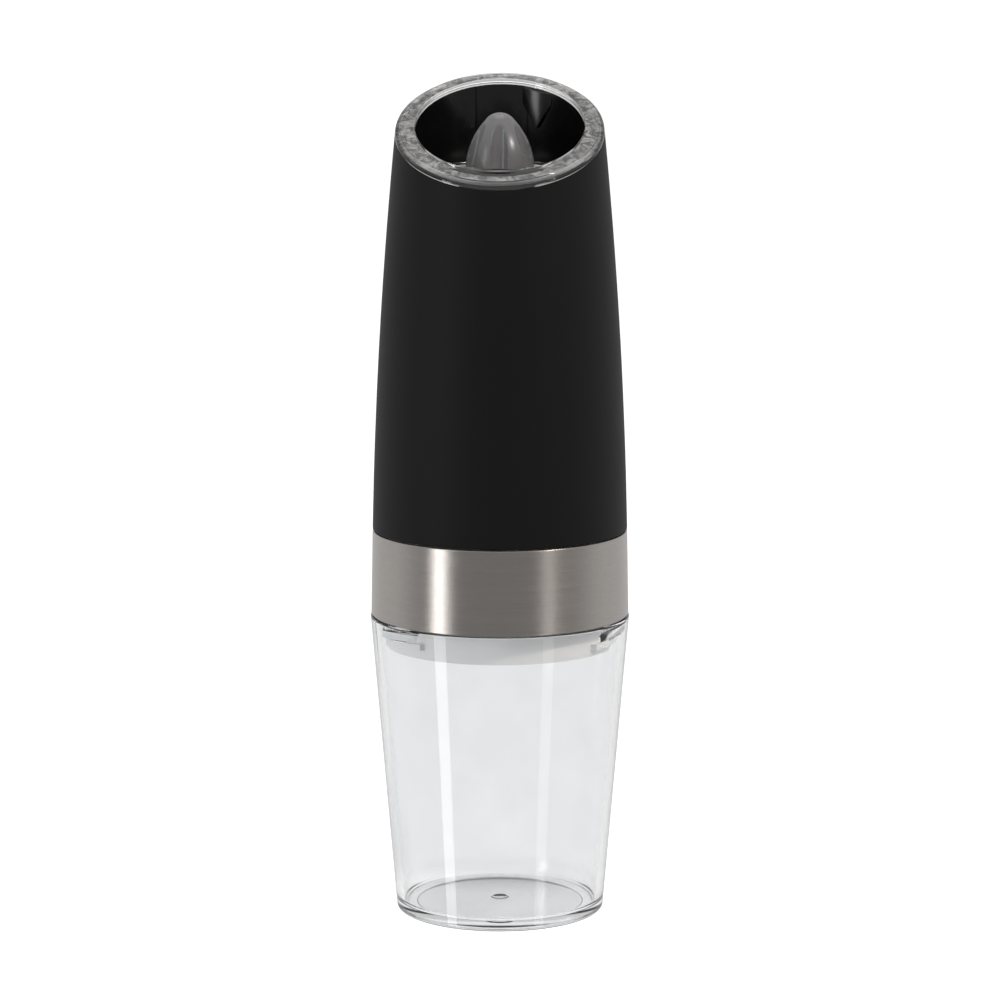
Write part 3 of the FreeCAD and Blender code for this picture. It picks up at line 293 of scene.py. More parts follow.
def makeMouldGrain():
    # fine even grain of a moulded or cast surface, with faint handling marks over it
    group, source, result = startGroup("mouldGrain", [
        ("Vector", "NodeSocketVector", None),
        ("Colour", "NodeSocketColor", (0.5, 0.5, 0.5, 1)),
        ("Grain Scale", "NodeSocketFloat", 1500.0),
        ("Colour Change", "NodeSocketFloat", 0.05),
        ("Roughness", "NodeSocketFloat", 0.5),
        ("Roughness Change", "NodeSocketFloat", 0.1),
        ("Mark Scale", "NodeSocketFloat", 60.0),
    ], surfaceOutputs)
    grain = noiseNode(group, scaledCoordinates(group, source, "Grain Scale"),
                      *patternLook["grain"])
    marks = noiseNode(group, scaledCoordinates(group, source, "Mark Scale"),
                      *patternLook["marks"])
    colour = shadeColour(group, source.outputs["Colour"], marks.outputs[0],
                         source.outputs["Colour Change"])
    rough = centredRange(group, marks.outputs[0], source.outputs["Roughness"],
                         source.outputs["Roughness Change"])
    group.links.new(colour, result.inputs["Colour"])
    group.links.new(rough, result.inputs["Roughness"])
    group.links.new(grain.outputs[0], result.inputs["Height"])
    return group


def makeBrushLines():
    # long thin lines left by brushing or turning, level all round
    group, source, result = startGroup("brushLines", [
        ("Vector", "NodeSocketVector", None),
        ("Colour", "NodeSocketColor", (0.5, 0.5, 0.5, 1)),
        ("Line Scale", "NodeSocketFloat", 1.0),
        ("Colour Change", "NodeSocketFloat", 0.1),
        ("Roughness", "NodeSocketFloat", 0.3),
        ("Roughness Change", "NodeSocketFloat", 0.2),
    ], surfaceOutputs)
    fine = group.nodes.new("ShaderNodeMapping")
    fine.inputs["Scale"].default_value = patternLook["lineStretch"]
    broad = group.nodes.new("ShaderNodeMapping")
    broad.inputs["Scale"].default_value = patternLook["bandStretch"]
    stretched = scaledCoordinates(group, source, "Line Scale")
    group.links.new(stretched, fine.inputs["Vector"])
    group.links.new(stretched, broad.inputs["Vector"])
    lines = noiseNode(group, fine.outputs[0], *patternLook["lines"])
    bands = noiseNode(group, broad.outputs[0], *patternLook["bands"])
    both = group.nodes.new("ShaderNodeMix")
    both.inputs["Factor"].default_value = patternLook["bandShare"]
    group.links.new(lines.outputs[0], both.inputs["A"])
    group.links.new(bands.outputs[0], both.inputs["B"])
    colour = shadeColour(group, source.outputs["Colour"], both.outputs["Result"],
                         source.outputs["Colour Change"])
    rough = centredRange(group, bands.outputs[0], source.outputs["Roughness"],
                         source.outputs["Roughness Change"])
    group.links.new(colour, result.inputs["Colour"])
    group.links.new(rough, result.inputs["Roughness"])
    group.links.new(both.outputs["Result"], result.inputs["Height"])
    return group


mouldGrain = makeMouldGrain()
brushLines = makeBrushLines()


# finishes, one for each material slot
finishes = {
    "clear_plastic": {
        "colour": (0.93, 0.94, 0.95), "roughness": 0.035, "change": 0.03, "clear": 1.49,
        "grain": 900, "bump": 0.0,
    },
    "silicone": {
        "colour": (0.55, 0.55, 0.53), "roughness": 0.6, "change": 0.1, "grain": 2500,
        "bump": 0.05,
    },
    "pale_plastic": {
        "colour": (0.93, 0.93, 0.93), "roughness": 0.42, "change": 0.1, "grain": 3000,
        "bump": 0.06,
    },
    "brushed_steel": {
        "colour": (0.47, 0.44, 0.415), "roughness": 0.32, "change": 0.14, "metal": 1.0,
        "lines": 1.0, "shade": 0.20, "bump": 0.35, "anisotropic": 0.8, "turn": 0.25,
    },
    "screw_steel": {
        "colour": (0.56, 0.55, 0.53), "roughness": 0.3, "change": 0.15, "metal": 1.0,
        "grain": 3500, "bump": 0.05,
    },
    "motor_steel": {
        "colour": (0.60, 0.60, 0.58), "roughness": 0.34, "change": 0.18, "metal": 1.0,
        "lines": 1.2, "shade": 0.12, "bump": 0.08,
    },
    "nickel": {
        "colour": (0.66, 0.62, 0.55), "roughness": 0.22, "change": 0.12, "metal": 1.0,
        "grain": 2500, "bump": 0.04,
    },
    "inner_black": {
        "colour": (0.028, 0.028, 0.030), "roughness": 0.5, "change": 0.12, "grain": 2600,
        "bump": 0.10,
    },
    "soft_black": {
        "colour": (0.0085, 0.0085, 0.009), "roughness": 0.55, "change": 0.08, "grain": 4200,
        "bump": 0.10, "shade": 0.10, "specular": 0.17,
    },
    "gloss_black": {
        "colour": (0.005, 0.005, 0.0055), "roughness": 0.17, "change": 0.06, "grain": 900,
        "bump": 0.01,
    },
    "knob_grey": {
        "colour": (0.200, 0.198, 0.206), "roughness": 0.27, "change": 0.08, "grain": 2600,
        "bump": 0.03,
    },
    "ceramic": {
        "colour": (0.74, 0.73, 0.70), "roughness": 0.35, "change": 0.15, "grain": 3800,
        "bump": 0.08,
    },
    "brass": {
        "colour": (0.75, 0.56, 0.25), "roughness": 0.3, "change": 0.15, "metal": 1.0,
        "grain": 2500, "bump": 0.05,
    },
    "copper": {
        "colour": (0.72, 0.36, 0.20), "roughness": 0.3, "change": 0.2, "metal": 1.0,
        "lines": 0.6, "shade": 0.3, "bump": 0.4,
    },
    "magnet": {
        "colour": (0.06, 0.06, 0.062), "roughness": 0.6, "change": 0.1, "grain": 3200,
        "bump": 0.2,
    },
    "motor_cap": {
        "colour": (0.50, 0.49, 0.45), "roughness": 0.48, "change": 0.1, "grain": 2800,
        "bump": 0.08,
    },
    "gear_plastic": {
        "colour": (0.80, 0.79, 0.74), "roughness": 0.38, "change": 0.12, "grain": 3000,
        "bump": 0.05,
    },
    "board_green": {
        "colour": (0.02, 0.16, 0.06), "roughness": 0.35, "change": 0.1, "grain": 1800,
        "bump": 0.08,
    },
    "component_black": {
        "colour": (0.03, 0.03, 0.03), "roughness": 0.45, "change": 0.1, "grain": 3000,
        "bump": 0.15,
    },
    "wire_insulation": {
        "colour": (0.45, 0.03, 0.02), "roughness": 0.42, "change": 0.1, "grain": 2600,
        "bump": 0.04,
    },
    "cell_sleeve": {
        "colour": (0.10, 0.16, 0.30), "roughness": 0.25, "change": 0.08, "grain": 1500,
        "bump": 0.02, "coat": 0.4,
    },
    "lamp": {
        "colour": (0.90, 0.93, 0.97), "roughness": 0.06, "change": 0.04, "clear": 1.45,
        "grain": 900, "bump": 0.0,
    },
}


finishDefaults = {
    "shade": 0.06,
    "specular": 0.5,
    "coatRoughness": 0.08,
    "bumpDistance": 0.1 * mm,
}


def letLampsThrough(tree, shader, colour):
    # lamps light what is behind clear plastic
    path = tree.nodes.new("ShaderNodeLightPath")
    passing = tree.nodes.new("ShaderNodeBsdfTransparent")
    passing.inputs["Color"].default_value = (*colour, 1)
    both = tree.nodes.new("ShaderNodeMixShader")
    tree.links.new(path.outputs["Is Shadow Ray"], both.inputs["Fac"])
    tree.links.new(shader.outputs[0], both.inputs[1])
    tree.links.new(passing.outputs[0], both.inputs[2])
    tree.links.new(both.outputs[0], tree.nodes["Material Output"].inputs["Surface"])


def makeFinish(name, look):
    material = bpy.data.materials.new(name)
    material.use_nodes = True
    tree = material.node_tree
    shader = tree.nodes["Principled BSDF"]
    place = tree.nodes.new("ShaderNodeTexCoord")
    surface = tree.nodes.new("ShaderNodeGroup")
    surface.node_tree = brushLines if "lines" in look else mouldGrain
    surface.inputs["Colour"].default_value = (*look["colour"], 1)
    surface.inputs["Roughness"].default_value = look["roughness"]
    surface.inputs["Roughness Change"].default_value = look["change"]
    surface.inputs["Colour Change"].default_value = look.get("shade", finishDefaults["shade"])
    if "lines" in look:
        surface.inputs["Line Scale"].default_value = look["lines"]
    else:
        surface.inputs["Grain Scale"].default_value = look["grain"]
    tree.links.new(place.outputs["Object"], surface.inputs["Vector"])
    tree.links.new(surface.outputs["Colour"], shader.inputs["Base Color"])
    tree.links.new(surface.outputs["Roughness"], shader.inputs["Roughness"])
    if look["bump"] > 0:
        bump = tree.nodes.new("ShaderNodeBump")
        bump.inputs["Strength"].default_value = look["bump"]
        bump.inputs["Distance"].default_value = finishDefaults["bumpDistance"]
        tree.links.new(surface.outputs["Height"], bump.inputs["Height"])
        tree.links.new(bump.outputs["Normal"], shader.inputs["Normal"])
    shader.inputs["Metallic"].default_value = look.get("metal", 0.0)
    shader.inputs["Anisotropic"].default_value = look.get("anisotropic", 0.0)
    if "coat" in look:
        shader.inputs["Coat Weight"].default_value = look["coat"]
        shader.inputs["Coat Roughness"].default_value = finishDefaults["coatRoughness"]
    shader.inputs["Anisotropic Rotation"].default_value = look.get("turn", 0.0)
    specular = look.get("specular", finishDefaults["specular"])
    shader.inputs["Specular IOR Level"].default_value = specular
    if "clear" in look:
        shader.inputs["Transmission Weight"].default_value = 1.0
        shader.inputs["IOR"].default_value = look["clear"]
        letLampsThrough(tree, shader, look["colour"])
    return material


madeFinishes = {name: makeFinish(name, look) for name, look in finishes.items()}
for node in cadNodes.values():
    for place, held in enumerate(node.data.materials):
        node.data.materials[place] = madeFinishes[held.name.split(".")[0]]
print("finishes made:", len(madeFinishes))


# shaping tools
def surfaceTree(name):
    return BVHTree.FromObject(cadNodes[name], bpy.context.evaluated_depsgraph_get())


def surfaceRadius(name, height, inner=False, angle=-90.0):
    # how far a CAD part's side is from the mill's axis at one height
    if name not in millSurfaces:
        millSurfaces[name] = surfaceTree(name)
    outwards = Vector((math.cos(math.radians(angle)), math.sin(math.radians(angle)), 0))
    start = Vector((0, 0, height))
    if inner:
        hit = millSurfaces[name].ray_cast(start, outwards)[0]
    else:
        hit = millSurfaces[name].ray_cast(start + outwards * 0.1, -outwards)[0]
    return math.hypot(hit.x, hit.y)


def sideLine(name, low, high, count, inner=False, angle=-90.0):
    # points up a CAD part's side, carried on in a straight line to both ends
    step = (high - low) / count
    heights = [low + step * (k + 0.5) for k in range(count)]
    radii = [surfaceRadius(name, height, inner, angle) for height in heights]
    first = radii[0] - (radii[1] - radii[0]) / 2
    last = radii[-1] + (radii[-1] - radii[-2]) / 2
    return [(first, low), *zip(radii, heights), (last, high)]


def outline(points, closed=True):
    # a row of (radius, height) points standing on the XZ plane
    shape = bmesh.new()
    corners = [shape.verts.new((radius, 0, height)) for radius, height in points]
    for first, second in zip(corners, corners[1:]):
        shape.edges.new((first, second))
    if closed:
        shape.edges.new((corners[-1], corners[0]))
    return shape


def spinRound(shape, steps, angle=360.0, startAngle=0.0, rise=0.0):
    fullSpin = angle > 359.9
    if startAngle:
        bmesh.ops.rotate(shape, verts=shape.verts, cent=(0, 0, 0),
                         matrix=Matrix.Rotation(math.radians(startAngle), 3, "Z"))
    bmesh.ops.spin(shape, geom=everything(shape), cent=(0, 0, 0), axis=(0, 0, 1),
                   dvec=(0, 0, rise / steps), angle=math.radians(angle), steps=steps,
                   use_merge=fullSpin, use_normal_flip=False, use_duplicate=False)
    bmesh.ops.remove_doubles(shape, verts=shape.verts, dist=0.001 * mm)
    bmesh.ops.recalc_face_normals(shape, faces=shape.faces)
    return shape


def roundEdges(shape, edges, offset, segments):
    bmesh.ops.bevel(shape, geom=edges, offset=offset, offset_type="OFFSET", segments=segments,
                    profile=0.5, affect="EDGES", clamp_overlap=True, material=-1)


def everything(shape):
    return shape.verts[:] + shape.edges[:] + shape.faces[:]


def roundRing(shape, radius, height, offset, segments, reach=0.06 * mm):
    # rounds the sharp ring edge that lies at this radius and height
    def near(vert):
        off = math.hypot(vert.co.x, vert.co.y) - radius
        return abs(off) < reach and abs(vert.co.z - height) < reach

    edges = [edge for edge in shape.edges if near(edge.verts[0]) and near(edge.verts[1])]
    roundEdges(shape, edges, offset, segments)


def keepFlatsFlat(piece):
    # large faces keep their own direction beside small rounded edges
    even = piece.modifiers.new("evenNormals", "WEIGHTED_NORMAL")
    even.mode = "FACE_AREA"
    even.weight = 50
    even.keep_sharp = True


def finishPiece(shape, name, slotName, body, replaced=(), sharpAngle=35.0, finish=None):
    mesh = bpy.data.meshes.new(name)
    shape.to_mesh(mesh)
    shape.free()
    mesh.polygons.foreach_set("use_smooth", [True] * len(mesh.polygons))
    mesh.set_sharp_from_angle(angle=math.radians(sharpAngle))
    mesh.materials.append(finish or madeFinishes[slotName])
    piece = bpy.data.objects.new(name, mesh)
    bpy.context.scene.collection.objects.link(piece)
    keepFlatsFlat(piece)
    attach(piece, body)
    if replaced:
        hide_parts(*replaced)
    return piece


# the slanted mouth plane, found on the clear ring
def ringHeightAt(y):
    tree = surfaceTree("light_ring")
    return tree.ray_cast(Vector((0.0, y, 0.3)), Vector((0, 0, -1)))[0].z


ringTest = 23.0 * mm
mouthSlope = (ringHeightAt(ringTest) - ringHeightAt(-ringTest)) / (2 * ringTest)
mouthLevel = (ringHeightAt(ringTest) + ringHeightAt(-ringTest)) / 2
mouthTilt = math.atan(mouthSlope)
mouthNormal = Vector((0, -math.sin(mouthTilt), math.cos(mouthTilt)))
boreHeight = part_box("outer_burr")[1].z + 3 * mm
mouthBore = surfaceRadius("mouth_liner", boreHeight, inner=True, angle=180)
print("mouth plane found:", round(math.degrees(mouthTilt), 2), "degrees")


def trimAtMouth(shape, depth, fill=False):
    # cuts away what stands above the mouth plane, moved down by depth
    point = Vector((0, 0, mouthLevel)) - mouthNormal * depth
    cut = bmesh.ops.bisect_plane(shape, geom=everything(shape), dist=cutDistance, plane_co=point,
                                 plane_no=mouthNormal, clear_outer=True)
    rim = [item for item in cut["geom_cut"] if isinstance(item, bmesh.types.BMEdge)]
    if fill:
        bmesh.ops.holes_fill(shape, edges=rim)
    return rim


# clear jar
jarLook = {
    "steps": 320,
    "sideMargin": 1.2 * mm,      # above the foot and the floor, where the wall is straight
    "dimpleShare": 0.8,          # of the foot's radius
    "dimpleRound": 0.3 * mm,
    "rimRound": 0.45 * mm,
    "footRound": 1.0 * mm,
    "insideRound": 1.3 * mm,
    "gateRadius": 1.9 * mm,
    "gateHeight": 0.16 * mm,
    "root": 0.4 * mm,            # how far ledges and stop go into the wall
    "ledgeCount": 3,
    "ledgeStart": 197.0,
    "ledgeAngle": 40.0,
    "ledgeReach": 0.9 * mm,
    "ledgeHeight": 2.4 * mm,
    "ledgeDepth": 4.3 * mm,      # its lower end under the rim
    "ledgeRunOut": 0.5,          # share of a ledge that fades into the wall at each end
    "ledgeEnd": 0.03,            # share of its depth that is left at its tips
    "stopReach": 1.3 * mm,
    "sharpAngle": 50,
    "lead": 12.0 * mm,
}


def makeJar():
    look = jarLook
    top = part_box("jar")[1].z
    below = surfaceTree("jar")
    floorTop = below.ray_cast(Vector((0.004, 0, 0.04)), Vector((0, 0, -1)))[0].z
    footRise = below.ray_cast(Vector((0.004, 0, -0.01)), Vector((0, 0, 1)))[0].z
    margin = look["sideMargin"]
    outside = sideLine("jar", margin, top, 2)
    inside = sideLine("jar", floorTop + margin, top, 2, inner=True)
    lean = (outside[1][0] - outside[0][0]) / (outside[1][1] - outside[0][1])
    footRadius = outside[0][0] - lean * outside[0][1]
    floorRadius = inside[0][0] - lean * margin
    dimple = footRadius * look["dimpleShare"]
    gate, rise = look["gateRadius"], look["gateHeight"]
    shape = outline([
        (0, footRise), (dimple, footRise), (dimple, 0), (footRadius, 0), *outside[1:],
        *reversed(inside[1:]), (floorRadius, floorTop),
        (gate + 0.5 * mm, floorTop), (gate + 0.2 * mm, floorTop + rise),
        (gate - 0.2 * mm, floorTop + rise), (gate - 0.5 * mm, floorTop), (0, floorTop),
    ], closed=False)
    spinRound(shape, look["steps"])
    roundRing(shape, outside[-1][0], top, look["rimRound"], 4)
    roundRing(shape, inside[-1][0], top, look["rimRound"] * 0.7, 3)
    roundRing(shape, footRadius, 0, look["footRound"], 5)
    roundRing(shape, dimple, 0, look["dimpleRound"], 3)
    roundRing(shape, floorRadius, floorTop, look["insideRound"], 5)
    bore = inside[-1][0]
    jar = finishPiece(shape, "clearJar", "clear_plastic", "jar", ["jar"], look["sharpAngle"])

    ledges = bmesh.new()
    level = top - look["ledgeDepth"]
    for k in range(look["ledgeCount"]):
        start = look["ledgeStart"] + 360 / look["ledgeCount"] * k
        addShape(ledges, makeLedge(bore, level, start))
    addShape(ledges, makeStop(bore, level, top - 1 * mm))
    uniteWith(jar, ledges)


def makeLedge(bore, level, start):
    # one bar on a slope round the wall, fading into the wall at both ends
    look = jarLook
    high = level + look["ledgeHeight"]
    tip = bore - look["ledgeReach"]
    deep = bore + look["root"]
    bar = outline([
        (tip, level + 0.5 * mm), (tip, high - 0.3 * mm), (tip + 0.3 * mm, high), (deep, high),
        (deep, level), (tip + 0.5 * mm, level)])
    bmesh.ops.contextual_create(bar, geom=bar.edges)
    spinRound(bar, 32, look["ledgeAngle"], start, look["lead"] * look["ledgeAngle"] / 360)
    for vert in bar.verts:
        angle = math.degrees(math.atan2(vert.co.y, vert.co.x))
        along = ((angle - start + 180) % 360 - 180) / look["ledgeAngle"]
        full = min(max(min(along, 1 - along) / look["ledgeRunOut"], look["ledgeEnd"]), 1)
        radius = math.hypot(vert.co.x, vert.co.y)
        fitted = deep - (deep - radius) * math.sin(math.pi / 2 * full)
        vert.co.x *= fitted / radius
        vert.co.y *= fitted / radius
    return bar


def makeStop(bore, low, high):
    # the small upright bar that ends the turn
    tip, deep = bore - jarLook["stopReach"], bore + jarLook["root"]
    stop = outline([(tip, low), (tip, high), (deep, high), (deep, low)])
    bmesh.ops.contextual_create(stop, geom=stop.edges)
    return spinRound(stop, 3, 1.0, jarLook["ledgeStart"] - 3)


def addShape(target, part):
    held = bpy.data.meshes.new("heldShape")
    part.to_mesh(held)
    part.free()
    target.from_mesh(held)
    bpy.data.meshes.remove(held)


def uniteWith(piece, added):
    # joins the added solids to a piece's own solid, for good
    addedMesh = bpy.data.meshes.new("addedShape")
    added.to_mesh(addedMesh)
    added.free()
    addedObject = bpy.data.objects.new("addedShape", addedMesh)
    bpy.context.scene.collection.objects.link(addedObject)
    union = piece.modifiers.new("union", "BOOLEAN")
    union.operation = "UNION"
    union.solver = "EXACT"
    union.object = addedObject
    bpy.context.view_layer.update()
    evaluated = piece.evaluated_get(bpy.context.evaluated_depsgraph_get())
    whole = bpy.data.meshes.new_from_object(evaluated)
    piece.modifiers.remove(union)
    piece.data = whole
    whole.polygons.foreach_set("use_smooth", [True] * len(whole.polygons))
    whole.set_sharp_from_angle(angle=math.radians(jarLook["sharpAngle"]))
    bpy.data.objects.remove(addedObject)


makeJar()
print("jar made")


# steel band
bandLook = {
    "steps": 256,
    "edgeRound": 0.3 * mm,
    "edgeMargin": 0.6 * mm,      # off its ends, where its side is measured
    "overlap": 0.2 * mm,         # how much further in it goes
}


def makeBand():
    low, high = (corner.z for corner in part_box("steel_band"))
    margin, overlap = bandLook["edgeMargin"], bandLook["overlap"]
    lowRadius = surfaceRadius("steel_band", low + margin)
    highRadius = surfaceRadius("steel_band", high - margin)
    inside = surfaceRadius("steel_band", (low + high) / 2, inner=True) - overlap
    shape = outline([(inside, low), (lowRadius, low), (highRadius, high), (inside - overlap, high)])
    spinRound(shape, bandLook["steps"])
    roundRing(shape, lowRadius, low, bandLook["edgeRound"], 4)
    roundRing(shape, highRadius, high, bandLook["edgeRound"], 4)
    finishPiece(shape, "brushedBand", "brushed_steel", "core", ["steel_band"])


makeBand()
print("band made")


# casing
casingLook = {
    "steps": 192,
    "wall": 1.8 * mm,
    "footRound": 0.35 * mm,
    "rimGap": 1.36 * mm,         # its rim under the mouth plane
    "frontReach": 26.0 * mm,     # from the axis to the mouth's low front edge
    "backRise": 16.0 * mm,       # how far above the mouth's middle its side is drawn
    "rows": 34,
    "rowStep": 2.0 * mm,
}


def makeCasing():
    look = casingLook
    low, high = (corner.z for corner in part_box("casing"))
    top = mouthLevel - look["frontReach"] * mouthSlope
    side = sideLine("casing", low, top - look["rowStep"], look["rows"])
    lastRadius, lastHeight = side[-1]
    lean = (side[-1][0] - side[-3][0]) / (side[-1][1] - side[-3][1])
    while lastHeight < mouthLevel + look["backRise"]:
        lastHeight += look["rowStep"]
        if lastHeight < high - 1 * mm:
            lastRadius = surfaceRadius("casing", lastHeight, angle=90)
        else:
            lastRadius += lean * look["rowStep"]
        side.append((lastRadius, lastHeight))
    inside = [(radius - look["wall"], height) for radius, height in reversed(side)]
    shape = outline([*side, *inside])
    spinRound(shape, look["steps"])
    rim = trimAtMouth(shape, look["rimGap"])
    bmesh.ops.bridge_loops(shape, edges=rim)
    bmesh.ops.recalc_face_normals(shape, faces=shape.faces)
    roundRing(shape, side[0][0], low, look["footRound"], 4)
    finishPiece(shape, "softCasing", "soft_black", "shell", ["casing"])
    return side


casingSide = makeCasing()


def casingRadiusAt(height):
    # the casing's outer radius at a height, from the points up its side
    for (lowRadius, low), (highRadius, high) in zip(casingSide, casingSide[1:]):
        if low <= height <= high:
            return lowRadius + (highRadius - lowRadius) * (height - low) / (high - low)
    return casingSide[-1][0]


print("casing made")


# clear ring and the silvered film under it
ringLook = {
    "steps": 192,
    "thickness": 1.22 * mm,
    "stepRadius": 24.0 * mm,     # of the fine step round the top
    "stepDrop": 0.16 * mm,
    "bevelDrop": 0.42 * mm,
    "innerRound": 0.22 * mm,
    "filmTop": 1.24 * mm,
    "filmBottom": 1.33 * mm,
    "filmInset": 0.04 * mm,      # off the bore and off the outer edge
    "filmOutset": 0.15 * mm,
    "seamPlace": 6.4 * mm,       # two seams over the light guide, at the back
    "seamWidth": 0.16 * mm,
}


def leanRing(shape, outerRadius):
    # takes a level ring up onto the slanted mouth and fits its edge to the casing
    for vert in shape.verts:
        radius = math.hypot(vert.co.x, vert.co.y)
        level = mouthLevel + vert.co.z / math.cos(mouthTilt)
        height = level + vert.co.y * mouthSlope
        share = (radius - mouthBore) / (outerRadius - mouthBore)
        for _ in range(3):
            fitted = mouthBore + share * (casingRadiusAt(height) - mouthBore)
            height = level + vert.co.y * fitted / radius * mouthSlope
        vert.co.x *= fitted / radius
        vert.co.y *= fitted / radius
        vert.co.z = height


def makeLightRing():
    look = ringLook
    outer = casingRadiusAt(mouthLevel)
    bore, bottom, drop = mouthBore, -look["thickness"], -look["bevelDrop"]
    shape = outline([
        (bore, bottom), (bore, 0), (look["stepRadius"], 0),
        (look["stepRadius"] + 0.06 * mm, -look["stepDrop"]), (outer - 0.35 * mm, drop),
        (outer - 0.08 * mm, drop - 0.16 * mm), (outer, drop - 0.4 * mm), (outer, bottom),
    ])
    spinRound(shape, look["steps"])
    roundRing(shape, bore, 0, look["innerRound"], 3)
    roundRing(shape, look["stepRadius"], 0, 0.05 * mm, 2)
    leanRing(shape, outer)
    finishPiece(shape, "clearRing", "clear_plastic", "shell", ["light_ring"], 30, ringPlastic)

    filmInner, filmOuter = bore + look["filmInset"], outer - look["filmOutset"]
    film = outline([
        (filmInner, -look["filmTop"]), (filmOuter, -look["filmTop"]),
        (filmOuter, -look["filmBottom"]), (filmInner, -look["filmBottom"])])
    spinRound(film, look["steps"])
    leanRing(film, outer)
    for side in (-1, 1):
        for edge in (-0.5, 0.5):
            place = (side * look["seamPlace"] + edge * look["seamWidth"], 0, 0)
            bmesh.ops.bisect_plane(film, geom=everything(film), dist=cutDistance, plane_co=place,
                                   plane_no=(1, 0, 0))
    gap = [face for face in film.faces
           if face.calc_center_median().y > 0
           and abs(abs(face.calc_center_median().x) - look["seamPlace"]) < look["seamWidth"] / 2]
    bmesh.ops.delete(film, geom=gap, context="FACES")
    bmesh.ops.holes_fill(film, edges=[edge for edge in film.edges if edge.is_boundary])
    bmesh.ops.recalc_face_normals(film, faces=film.faces)
    finishPiece(film, "ringFilm", "clear_plastic", "shell", (), 35, silverFilm)


filmLook = {
    "scale": 420.0,
    "detail": 5.0,
    "roughness": 0.7,
    "distortion": 1.2,
    "dark": (0.42, (0.02, 0.02, 0.021, 1)),
    "bright": (0.68, (0.70, 0.69, 0.67, 1)),
    "bump": 0.8,
    "bumpDistance": 0.12 * mm,
    "metal": 0.75,
    "gloss": 0.36,               # roughness of its surface
}


def makeSilverFilm():
    # the roughened underside of the ring: grey, mottled, brighter where it faces a lamp
    material = bpy.data.materials.new("silverFilm")
    material.use_nodes = True
    tree = material.node_tree
    shader = tree.nodes["Principled BSDF"]
    place = tree.nodes.new("ShaderNodeTexCoord")
    blotches = tree.nodes.new("ShaderNodeTexNoise")
    blotches.inputs["Scale"].default_value = filmLook["scale"]
    blotches.inputs["Detail"].default_value = filmLook["detail"]
    blotches.inputs["Roughness"].default_value = filmLook["roughness"]
    blotches.inputs["Distortion"].default_value = filmLook["distortion"]
    tone = tree.nodes.new("ShaderNodeValToRGB")
    ends = zip(tone.color_ramp.elements, (filmLook["dark"], filmLook["bright"]))
    for end, (position, colour) in ends:
        end.position = position
        end.color = colour
    bump = tree.nodes.new("ShaderNodeBump")
    bump.inputs["Strength"].default_value = filmLook["bump"]
    bump.inputs["Distance"].default_value = filmLook["bumpDistance"]
    tree.links.new(place.outputs["Object"], blotches.inputs["Vector"])
    tree.links.new(blotches.outputs["Fac"], tone.inputs["Fac"])
    tree.links.new(tone.outputs["Color"], shader.inputs["Base Color"])
    tree.links.new(blotches.outputs["Fac"], bump.inputs["Height"])
    tree.links.new(bump.outputs["Normal"], shader.inputs["Normal"])
    shader.inputs["Metallic"].default_value = filmLook["metal"]
    shader.inputs["Roughness"].default_value = filmLook["gloss"]
    return material


silverFilm = makeSilverFilm()
ringPlastic = makeFinish("ringPlastic", {
    "colour": (0.80, 0.80, 0.80), "roughness": 0.05, "change": 0.04, "clear": 1.49, "grain": 900,
    "bump": 0.0})
makeLightRing()
print("clear ring made")


# liner of the mouth
linerLook = {
    "steps": 160,
    "wall": 1.0 * mm,
    "corner": 0.9 * mm,
    "holeRadius": 14.2 * mm,
    "floorThickness": 1.6 * mm,
    "panelHalfWidth": 6.4 * mm,
    "panelGap": 0.10 * mm,
    "rimGap": 1.36 * mm,
    "ribAngle": 64.5,
    "ribWidth": 8.0 * mm,
    "ribPoint": 9.0 * mm,        # the point's height above the floor
    "ribShoulder": 6.0 * mm,
    "ribDepth": 1.2 * mm,
    "ribRoot": 0.1 * mm,         # how far it goes into the wall
    "ribRound": 0.16 * mm,
    "ribStrips": 16,
    "seamRound": 0.12 * mm,
    "holeRound": 0.25 * mm,
    "backRise": 14.0 * mm,       # how far above the mouth's middle the wall is drawn
    "wallSteps": 144,
    "panelSteps": 24,
}


def makeLiner():
    look = linerLook
    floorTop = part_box("back_panel")[0].z
    high = mouthLevel + look["backRise"]
    bore, outer = mouthBore, mouthBore + look["wall"]
    half = math.degrees(math.asin(look["panelHalfWidth"] / bore))
    gap = math.degrees(look["panelGap"] / bore)
    foot = floorTop + 2 * look["corner"]

    def arcWall(steps, angle, start):
        arc = outline([(bore, foot), (bore, high), (outer, high), (outer, foot)])
        bmesh.ops.contextual_create(arc, geom=arc.edges)
        return spinRound(arc, steps, angle, start)

    wall = arcWall(look["wallSteps"], 360 - 2 * half, 90 + half)
    panel = arcWall(look["panelSteps"], 2 * (half - gap), 90 - half + gap)
    for shape in (wall, panel):
        trimAtMouth(shape, look["rimGap"], fill=True)
        bmesh.ops.recalc_face_normals(shape, faces=shape.faces)
        upright = [edge for edge in shape.edges
                   if edge.calc_length() > 0.2 * mm and edge.calc_face_angle(0) > 1.2
                   and abs((edge.verts[0].co - edge.verts[1].co).normalized().z) > 0.9]
        roundEdges(shape, upright, look["seamRound"], 2)
    finishPiece(wall, "linerWall", "gloss_black", "shell", ["mouth_liner"])
    finishPiece(panel, "linerPanel", "gloss_black", "shell", ["back_panel"])

    hole, under = look["holeRadius"], floorTop - look["floorThickness"]
    base = outline([
        (hole, under), (hole, floorTop), (bore, floorTop), (bore, foot), (outer, foot),
        (outer, under)])
    spinRound(base, look["steps"])
    roundRing(base, bore, floorTop, look["corner"], 5)
    roundRing(base, hole, floorTop, look["holeRound"], 3)
    finishPiece(base, "linerFloor", "gloss_black", "shell")
    makeRib(floorTop, high)


